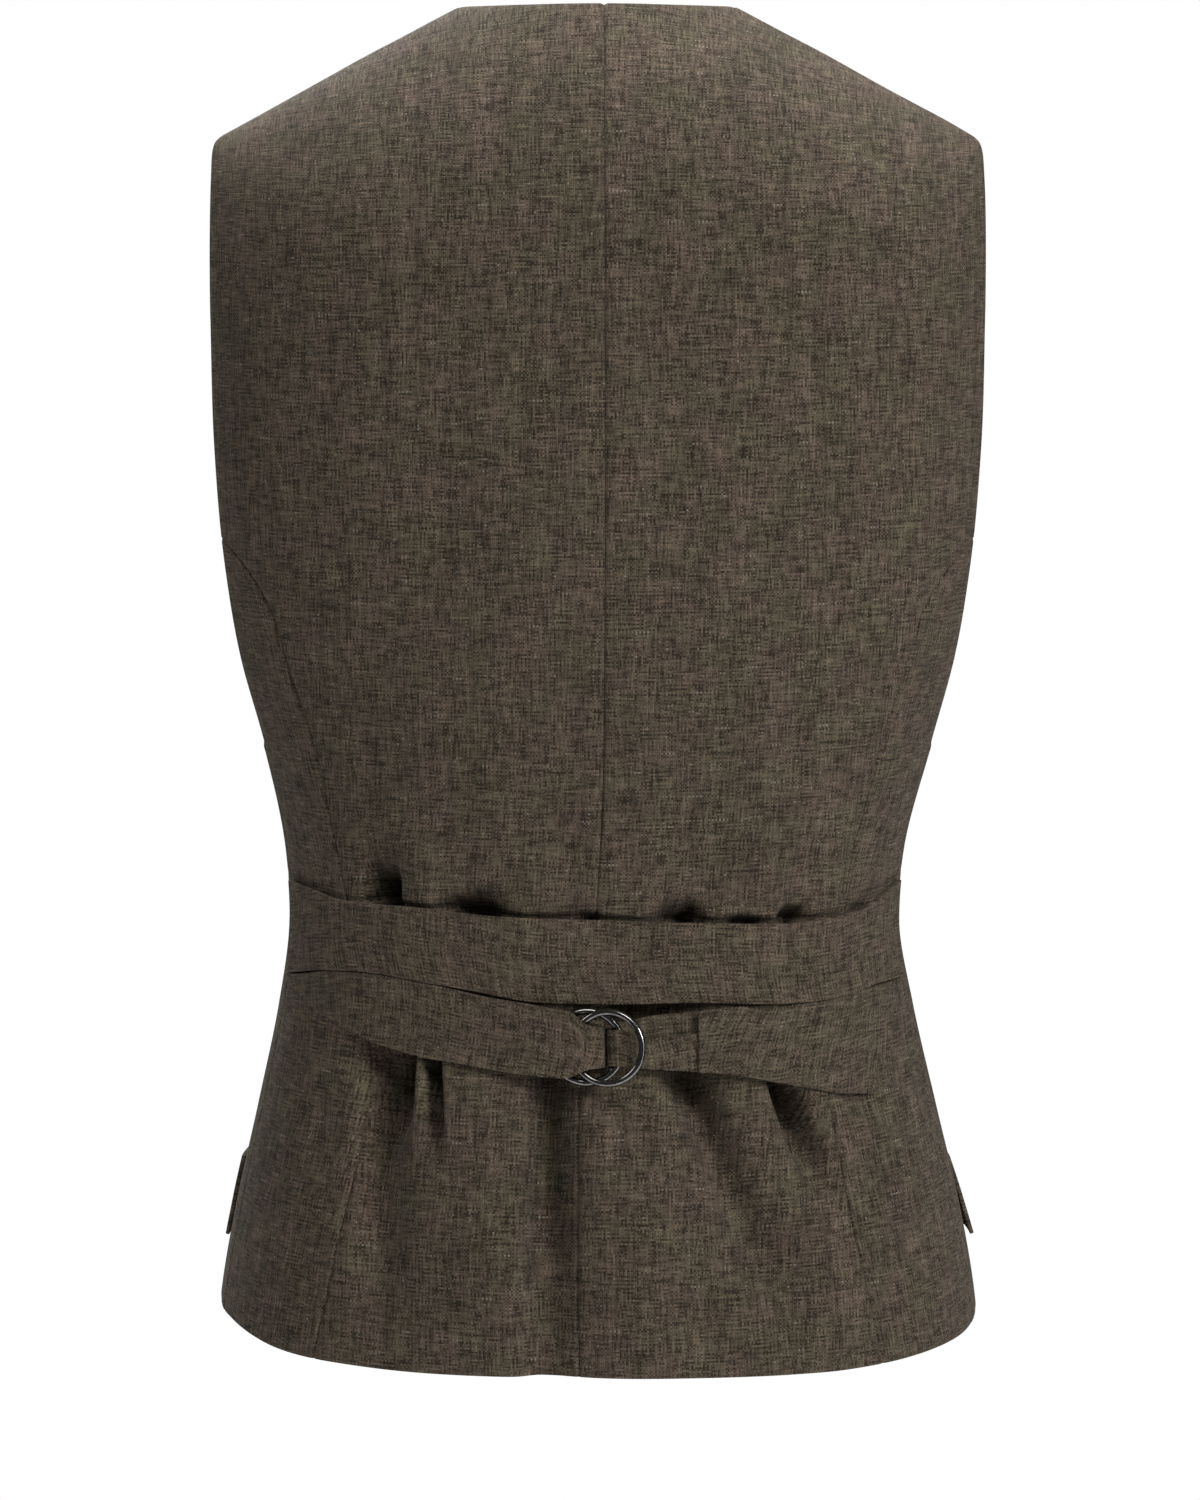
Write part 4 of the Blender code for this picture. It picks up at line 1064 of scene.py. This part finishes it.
TONGUE = table((
    # x, lift of the cloth's middle at its top and at its bottom, top height, bottom height
    (-59, 0.3, 0.3, -420.5, -444),
    (-40, 0.3, 0.3, -421.5, -444.2),
    (-20, 0.3, 0.5, -423.3, -444.2),
    (-10, 1, 1, -426.2, -444),
    (-6.8, 1.5, 1.5, -427.6, -443.6),
    (-5.6, 3.2, 3.2, -428.2, -443.2),
    (-5.9, 5.4, 5.4, -428.2, -443.2),
    (-7.8, 6.7, 6.7, -428.1, -443.4),
    (-11.3, 7, 7, -428.4, -443.7),
    (-16, 6.3, 6.3, -430.6, -444),
    (-20, 5.2, 5.2, -432.9, -444.5),
    (-26, 3.8, 3.8, -433, -444.9),
    (-33, 2.9, 2.9, -431.7, -445.4),
    (-42, 2.6, 2.6, -430.3, -446),
    (-59, 2.6, 2.6, -429, -445.5),
), MM)


def strap_points(columns):
    """Points of a strap's middle face: along its path, and across from its top to its bottom."""
    steps = np.hypot(np.diff(columns[0]), np.diff(columns[1]))
    path = np.concatenate([[0.0], np.cumsum(steps)])
    wanted = np.linspace(0.0, path[-1], int(path[-1] / STRAP_STEP))
    along = [smooth(path, column, wanted)[:, None] for column in columns]
    x, top_lift, bottom_lift, top, bottom = along
    shares = close_to_edges(STRAP_ROWS, STRAP_WIDTH)
    height = between(top, bottom, shares)
    lift = between(top_lift, bottom_lift, shares)
    return on_back(np.broadcast_to(x, height.shape), height, lift)


for name, node, columns, thickness, rests in (
    ("linen_strap_left", "strap_left", LEFT_STRAP, 0.0015, ["back_left", "ring_upper"]),
    ("linen_strap_right", "strap_right", RIGHT_STRAP, 0.0015, ["back_right", "strap_tongue"]),
    ("linen_tongue", "strap_tongue", TONGUE, 0.0013, ["back_right", "ring_lower"]),
):
    points = strap_points(columns)
    outward = np.broadcast_to(np.array([0.0, 1.0, 0.0]), points.shape)
    piece = lay_cloth(name, points, outward, BELT_LINEN, thickness=thickness, offset=0.0)
    declare_cloth(piece, node)

# %% [markdown]
# The pocket flaps of the fronts. Only their back ends show in the photograph, where they stand
# off the cloth at the sides. Each is a double piece of linen that hangs from its upper edge, and
# the right one is seated deeper there and stands out further below.

# %% Pocket flaps
FLAP_THICKNESS = 0.0018
FLAP_START_ANGLE = 91.5
FLAP_END_ANGLE = 143.0
FLAP_TOP_HEIGHT = -0.5070
FLAP_BOTTOM_HEIGHT = -0.5430
FLAP_LIFTS = (
    # side, how far its face stands off the body at its top and at its bottom
    ("left", LEFT, 0.0021, 0.0026),
    ("right", RIGHT, 0.0008, 0.0045),
)
FLAP_ROWS = 24
FLAP_COLUMNS = 90

for label, side, top_lift, bottom_lift in FLAP_LIFTS:
    angle = np.radians(np.linspace(FLAP_START_ANGLE, FLAP_END_ANGLE, FLAP_COLUMNS))
    shares = close_to_edges(FLAP_ROWS, FLAP_TOP_HEIGHT - FLAP_BOTTOM_HEIGHT)[:, None]
    height = between(FLAP_BOTTOM_HEIGHT, FLAP_TOP_HEIGHT, shares)
    level = np.broadcast_to(height - BLADE_HEIGHT, (len(height), len(angle)))
    angles = side * np.broadcast_to(angle, level.shape)
    outward = form_normal(angles, level)
    lift = between(bottom_lift, top_lift, shares)
    points = form_point(angles, level) + lift[..., None] * outward
    piece = lay_cloth(f"linen_flap_{label}", points, outward, BELT_LINEN, thickness=FLAP_THICKNESS)
    declare_cloth(piece, f"pocket_flap_{label}")

# %% [markdown]
# The rings. A ring is a wire circle, so a small circle is spun round an axis and the seam is
# merged. Dark plating has almost no colour of its own: it reflects the studio at grazing angles,
# as two bright lines, and stays dark between them.

# %% Ring metal
DARK_PLATING = (0.150, 0.146, 0.142, 1.0)
WORN_PLATING = (0.260, 0.252, 0.240, 1.0)
WEAR_RATE = 900.0

ring_metal, tree, shader = new_material("dark_plating")
place = add_node(tree, "ShaderNodeTexCoord").outputs["Object"]
sockets = {"Vector": place, "Scale": WEAR_RATE, "Detail": 3.0}
wear = add_node(tree, "ShaderNodeTexNoise", sockets).outputs["Fac"]
set_sockets(tree, shader, {
    "Metallic": 1.0,
    "Base Color": blend_colour(tree, rescale(tree, wear, 0.35, 0.65), DARK_PLATING, WORN_PLATING),
    "Roughness": rescale(tree, wear, 0.3, 0.7, 0.10, 0.18),
})
print("ring metal:", len(tree.nodes), "nodes")

# %% Rings
RING_RADIUS = 0.0149
RING_WIRE = 0.0030
RING_STEPS = 96
WIRE_SIDES = 20
SAME_PLACE = 1e-6
SORT_DIRECTION = Vector((1.0, math.sqrt(5.0), math.sqrt(17.0)))
QUARTER_TURN = math.radians(90.0)


def place_on_back(x, height, lift):
    """A lifted point on the back and its outward direction."""
    low = on_back(x, height, 0.0)
    high = on_back(x, height, lift)
    return Vector(high), Vector(high - low).normalized()


def sort_by_place(made):
    """Lists a mesh's parts by where they lie, because a spin lists them in any order."""
    made.verts.sort(key=lambda corner: corner.co.dot(SORT_DIRECTION))
    made.edges.sort(key=lambda edge: (edge.verts[0].co + edge.verts[1].co).dot(SORT_DIRECTION))
    made.faces.sort(key=lambda face: face.calc_center_median().dot(SORT_DIRECTION))


def finish_piece(made, name, material, node=None):
    """An object of closed meshes, which may replace a node."""
    bmesh.ops.remove_doubles(made, verts=made.verts, dist=SAME_PLACE)
    bmesh.ops.recalc_face_normals(made, faces=made.faces)
    bmesh.ops.translate(made, verts=made.verts, vec=(0.0, 0.0, NECK_RISE))
    sort_by_place(made)
    for face in made.faces:
        face.smooth = True
    piece = new_object(name, made, material)
    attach(piece, "root")
    if node:
        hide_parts(node)
    print(name, len(piece.data.polygons), "faces")
    return piece


def spin_ring(name, node, centre, lift, tilt):
    """A wire ring that stands off the back and is turned about its upright axis."""
    wire = bmesh.new()
    made = bmesh.ops.create_circle(wire, segments=WIRE_SIDES, radius=RING_WIRE / 2)
    bmesh.ops.rotate(wire, verts=made["verts"], matrix=Matrix.Rotation(QUARTER_TURN, 3, "X"))
    bmesh.ops.translate(wire, verts=made["verts"], vec=(RING_RADIUS, 0.0, 0.0))
    bmesh.ops.spin(
        wire, geom=wire.edges[:], cent=(0.0, 0.0, 0.0), axis=(0.0, 0.0, 1.0),
        angle=2 * math.pi, steps=RING_STEPS, use_merge=True,
    )
    middle, outward = place_on_back(*centre, lift)
    turn = outward.to_track_quat("Z", "Y").to_matrix().to_4x4()
    placed = Matrix.Translation(middle) @ Matrix.Rotation(math.radians(tilt), 4, "Z") @ turn
    bmesh.ops.transform(wire, matrix=placed, verts=wire.verts)
    finish_piece(wire, name, ring_metal, node)


spin_ring("wire_ring_lower", "ring_lower", (0.0036, -0.4352), 0.0038, 0.0)
spin_ring("wire_ring_upper", "ring_upper", (-0.0050, -0.4356), 0.0087, -16.0)

# %% [markdown]
# The buttons. A horn button is turned on a lathe: its profile is spun round its axis, and four
# holes are drilled through the dished middle. Horn is dark brown with paler streaks.

# %% Horn
HORN_STREAKS = (260.0, 260.0, 60.0)
DARK_HORN = (0.022, 0.015, 0.011, 1.0)
PALE_HORN = (0.10, 0.066, 0.042, 1.0)

horn, tree, shader = new_material("dark_horn")
place = add_node(tree, "ShaderNodeTexCoord").outputs["Object"]
sockets = {"Vector": stretch(tree, place, HORN_STREAKS), "Scale": 1.0, "Detail": 4.0}
streaks = add_node(tree, "ShaderNodeTexNoise", sockets).outputs["Fac"]
set_sockets(tree, shader, {
    "Coat Weight": 0.2,
    "Base Color": blend_colour(tree, rescale(tree, streaks, 0.4, 0.7), DARK_HORN, PALE_HORN),
    "Roughness": rescale(tree, streaks, 0.3, 0.7, 0.32, 0.42),
})
print("horn:", len(tree.nodes), "nodes")

# %% Buttons
BUTTON_COUNT = 4
TOP_BUTTON_HEIGHT = -0.270
BUTTON_SPACING = 0.073
BUTTON_RADIUS = 0.0085
BUTTON_THICKNESS = 0.0030
BUTTON_RIM = 0.0018
BUTTON_DISH = 0.0009
BUTTON_STEPS = 48
HOLE_OFFSET = 0.0013
HOLE_RADIUS = 0.0007
HOLE_SIDES = 16
button_frames = []


def drill_holes(piece, placed):
    """Cuts four thread holes through a turned button."""
    drill = bmesh.new()
    for across, up in ((1, 1), (1, -1), (-1, 1), (-1, -1)):
        at = Matrix.Translation((across * HOLE_OFFSET, up * HOLE_OFFSET, BUTTON_THICKNESS / 2))
        bmesh.ops.create_cone(
            drill, cap_ends=True, segments=HOLE_SIDES, radius1=HOLE_RADIUS, radius2=HOLE_RADIUS,
            depth=3 * BUTTON_THICKNESS, matrix=placed @ at,
        )
    cutter = new_object("drill", drill, horn)
    holes = piece.modifiers.new("holes", "BOOLEAN")
    holes.object = cutter
    holes.operation = "DIFFERENCE"
    holes.solver = "EXACT"
    bpy.context.view_layer.update()
    drilled = piece.evaluated_get(bpy.context.evaluated_depsgraph_get())
    drilled = bpy.data.meshes.new_from_object(drilled)
    piece.modifiers.clear()
    piece.data = drilled
    bpy.data.objects.remove(cutter)
    print(piece.name, "drilled:", len(drilled.polygons), "faces")


for number in range(BUTTON_COUNT):
    level = np.array(TOP_BUTTON_HEIGHT - number * BUTTON_SPACING - BLADE_HEIGHT)
    facing = form_normal(np.array(math.pi), level)
    seat = form_point(np.array(math.pi), level) + (CLOTH + LAP_GAP + BELT_GAP) * facing
    turned = bmesh.new()
    profile = [turned.verts.new((radius, 0.0, rise)) for radius, rise in (
        (0.0, 0.0),
        (BUTTON_RADIUS - BUTTON_RIM / 2, 0.0),
        (BUTTON_RADIUS - BUTTON_RIM / 5, BUTTON_THICKNESS * 0.2),
        (BUTTON_RADIUS, BUTTON_THICKNESS / 2),
        (BUTTON_RADIUS - BUTTON_RIM / 5, BUTTON_THICKNESS * 0.8),
        (BUTTON_RADIUS - BUTTON_RIM / 2, BUTTON_THICKNESS),
        (BUTTON_RADIUS - BUTTON_RIM, BUTTON_THICKNESS * 0.9),
        (BUTTON_RADIUS - BUTTON_RIM * 1.5, BUTTON_THICKNESS - BUTTON_DISH),
        (0.0, BUTTON_THICKNESS - BUTTON_DISH),
    )]
    edges = [turned.edges.new(pair) for pair in zip(profile, profile[1:])]
    bmesh.ops.spin(
        turned, geom=edges, cent=(0.0, 0.0, 0.0), axis=(0.0, 0.0, 1.0),
        angle=2 * math.pi, steps=BUTTON_STEPS, use_merge=True,
    )
    turn = Vector(facing).to_track_quat("Z", "Y").to_matrix().to_4x4()
    placed = Matrix.Translation(Vector(seat)) @ turn
    bmesh.ops.transform(turned, matrix=placed, verts=turned.verts)
    names = f"horn_button_{number + 1}", f"button_{number + 1}"
    piece = finish_piece(turned, names[0], horn, names[1])
    drill_holes(piece, Matrix.Translation((0.0, 0.0, NECK_RISE)) @ placed)
    button_frames.append(placed)

# %% [markdown]
# Sewing. Each button is held by two bars of thread across its holes, and each buttonhole is edged
# with close stitches. A thread is a closed tube: a flat grid is wrapped round a path and its seams
# are merged. For the stitches the tube swells and narrows along its way.

# %% Thread
DARK_THREAD = (0.018, 0.014, 0.010, 1.0)
PALE_THREAD = (0.075, 0.060, 0.045, 1.0)
TWIST_RATE = 1500.0

thread_cotton, tree, shader = new_material("sewing_thread")
place = add_node(tree, "ShaderNodeTexCoord").outputs["Object"]
sockets = {"Vector": place, "Scale": TWIST_RATE, "Distortion": 1.5, "Detail": 1.0}
twist = add_node(tree, "ShaderNodeTexWave", sockets, bands_direction="DIAGONAL").outputs["Fac"]
set_sockets(tree, shader, {
    "Base Color": blend_colour(tree, twist, DARK_THREAD, PALE_THREAD),
    "Roughness": rescale(tree, twist, 0.0, 1.0, 0.85, 0.65),
})
print("thread:", len(tree.nodes), "nodes")

# %% Bars and buttonholes
THREAD_SIDES = 8
BAR_STEPS = 24
BAR_RADIUS = 0.00024
BAR_HEIGHT = 0.0011
BAR_SPREAD = 0.00038
HOLE_EDGE_RADIUS = 0.00055
HOLE_EDGE_RIBS = 0.2
HOLE_EDGE_PITCH = 4
HOLE_EDGE_STEPS = 200
BUTTONHOLE_LENGTH = 0.0195
BUTTONHOLE_HALF_WIDTH = 0.00075
BUTTONHOLE_MIDDLE = -0.0075


def wind_thread(thread, path, across, radii):
    """Wraps a grid round a closed path of points."""
    steps = len(path)
    made = bmesh.ops.create_grid(thread, x_segments=steps, y_segments=THREAD_SIDES, size=0.5)
    along = np.roll(path, -1, axis=0) - np.roll(path, 1, axis=0)
    along /= np.linalg.norm(along, axis=1, keepdims=True)
    upward = np.cross(along, across)
    upward /= np.linalg.norm(upward, axis=1, keepdims=True)
    sideways = np.cross(upward, along)
    for vertex in made["verts"]:
        step = round((vertex.co.x + 0.5) * steps) % steps
        turn = 2 * math.pi * round((vertex.co.y + 0.5) * THREAD_SIDES) / THREAD_SIDES
        around = math.cos(turn) * upward[step] + math.sin(turn) * sideways[step]
        vertex.co = path[step] + radii[step] * around


def on_right_front(x, height):
    """Points on the outer face of the right front, and its outward direction there."""
    level = height - BLADE_HEIGHT
    angle = angle_at(x, level, facing_front=True)
    points, outward = cloth_point(angle, level), form_normal(angle, level, cloth_point)
    return points + (ripple(points) + lap(points[..., 0]))[..., None] * outward, outward


bars = bmesh.new()
turns = np.linspace(0.0, 2 * math.pi, BAR_STEPS, endpoint=False)
for placed in button_frames:
    for row in (-1, 1):
        for strand in (-1, 0, 1):
            path = np.array([placed @ Vector((
                row * HOLE_OFFSET + strand * BAR_SPREAD,
                HOLE_OFFSET * math.cos(turn),
                BUTTON_THICKNESS - BUTTON_DISH - BAR_HEIGHT / 4 + BAR_HEIGHT * math.sin(turn),
            )) for turn in turns])
            across = np.broadcast_to(np.array(placed.to_3x3().col[0]), path.shape)
            wind_thread(bars, path, across, np.full(BAR_STEPS, BAR_RADIUS))
finish_piece(bars, "button_threads", thread_cotton)

buttonholes = bmesh.new()
share = np.arange(HOLE_EDGE_STEPS) / HOLE_EDGE_STEPS
zigzag = 1.0 - 2.0 * np.abs(1.0 - 2.0 * share)
x = BUTTONHOLE_MIDDLE + 0.5 * BUTTONHOLE_LENGTH * zigzag
rounding = np.clip((1.0 - np.abs(zigzag)) * BUTTONHOLE_LENGTH / 2 / BUTTONHOLE_HALF_WIDTH, 0.0, 1.0)
offset = np.sign(0.5 - share) * BUTTONHOLE_HALF_WIDTH * np.sqrt(rounding * (2.0 - rounding))
stitch = 2 * math.pi * np.arange(HOLE_EDGE_STEPS) / HOLE_EDGE_PITCH
ribs = HOLE_EDGE_RADIUS * (1.0 + HOLE_EDGE_RIBS * np.cos(stitch))
for number in range(BUTTON_COUNT):
    height = TOP_BUTTON_HEIGHT - number * BUTTON_SPACING + offset
    path, outward = on_right_front(x, height)
    wind_thread(buttonholes, path, outward, ribs)
finish_piece(buttonholes, "stitched_buttonholes", thread_cotton)

# %% [markdown]
# A plain studio. The sky is an even white, which gives the white background but little light. A
# large soft light stands behind the wearer on the right and another hangs overhead, so that the
# shoulders and the right side are paler and the folds stay deep. A tall narrow strip draws the
# long bright line on the rings. The floor is pale and lies well below the hem.

# %% Floor and light
FLOOR_HEIGHT = -1.15
FLOOR_HALF = 1.6
SKY_LIGHT = 0.075
LIGHTS = (
    # name, place, width, height, watts
    ("key", (-1.4, 1.5, 0.9), 0.8, 0.8, 27.0),
    ("strip", (-1.3, 1.2, -0.25), 0.25, 1.5, 5.0),
    ("left", (1.7, 0.2, 0.8), 0.8, 0.8, 6.0),
    ("behind", (0.0, 1.3, 1.4), 0.8, 0.8, 11.0),
    ("top", (0.0, -0.5, 1.9), 0.8, 0.8, 57.0),
    ("front_fill", (0.6, -1.9, 0.7), 1.2, 1.2, 30.0),
)

floor_shape = bmesh.new()
bmesh.ops.create_grid(floor_shape, x_segments=1, y_segments=1, size=FLOOR_HALF)
bmesh.ops.translate(floor_shape, verts=floor_shape.verts, vec=(0.0, 0.0, FLOOR_HEIGHT))
pale, tree, shader = new_material("pale_floor")
set_sockets(tree, shader, {"Base Color": (0.9, 0.9, 0.9, 1.0), "Roughness": 0.8})
floor = new_object("floor", floor_shape, pale)

world = bpy.data.worlds.new("white_sky")
world.use_nodes = True
sky = world.node_tree
background = sky.nodes["Background"]
background.inputs["Color"].default_value = (1.0, 1.0, 1.0, 1.0)
seen = add_node(sky, "ShaderNodeLightPath").outputs["Is Camera Ray"]
sky.links.new(calculate(sky, "MAXIMUM", seen, SKY_LIGHT), background.inputs["Strength"])
bpy.context.scene.world = world
bpy.context.scene.view_settings.view_transform = "Standard"

for name, place, width, height, watts in LIGHTS:
    light = bpy.data.lights.new(name, "AREA")
    light.shape = "RECTANGLE"
    light.size = width
    light.size_y = height
    light.energy = watts
    lamp = bpy.data.objects.new(name, light)
    lamp.location = place
    aim = Vector((0.0, 0.0, AIM_HEIGHT)) - lamp.location
    lamp.rotation_euler = aim.to_track_quat("-Z", "Y").to_euler()
    bpy.context.scene.collection.objects.link(lamp)
print("lights and floor in place")
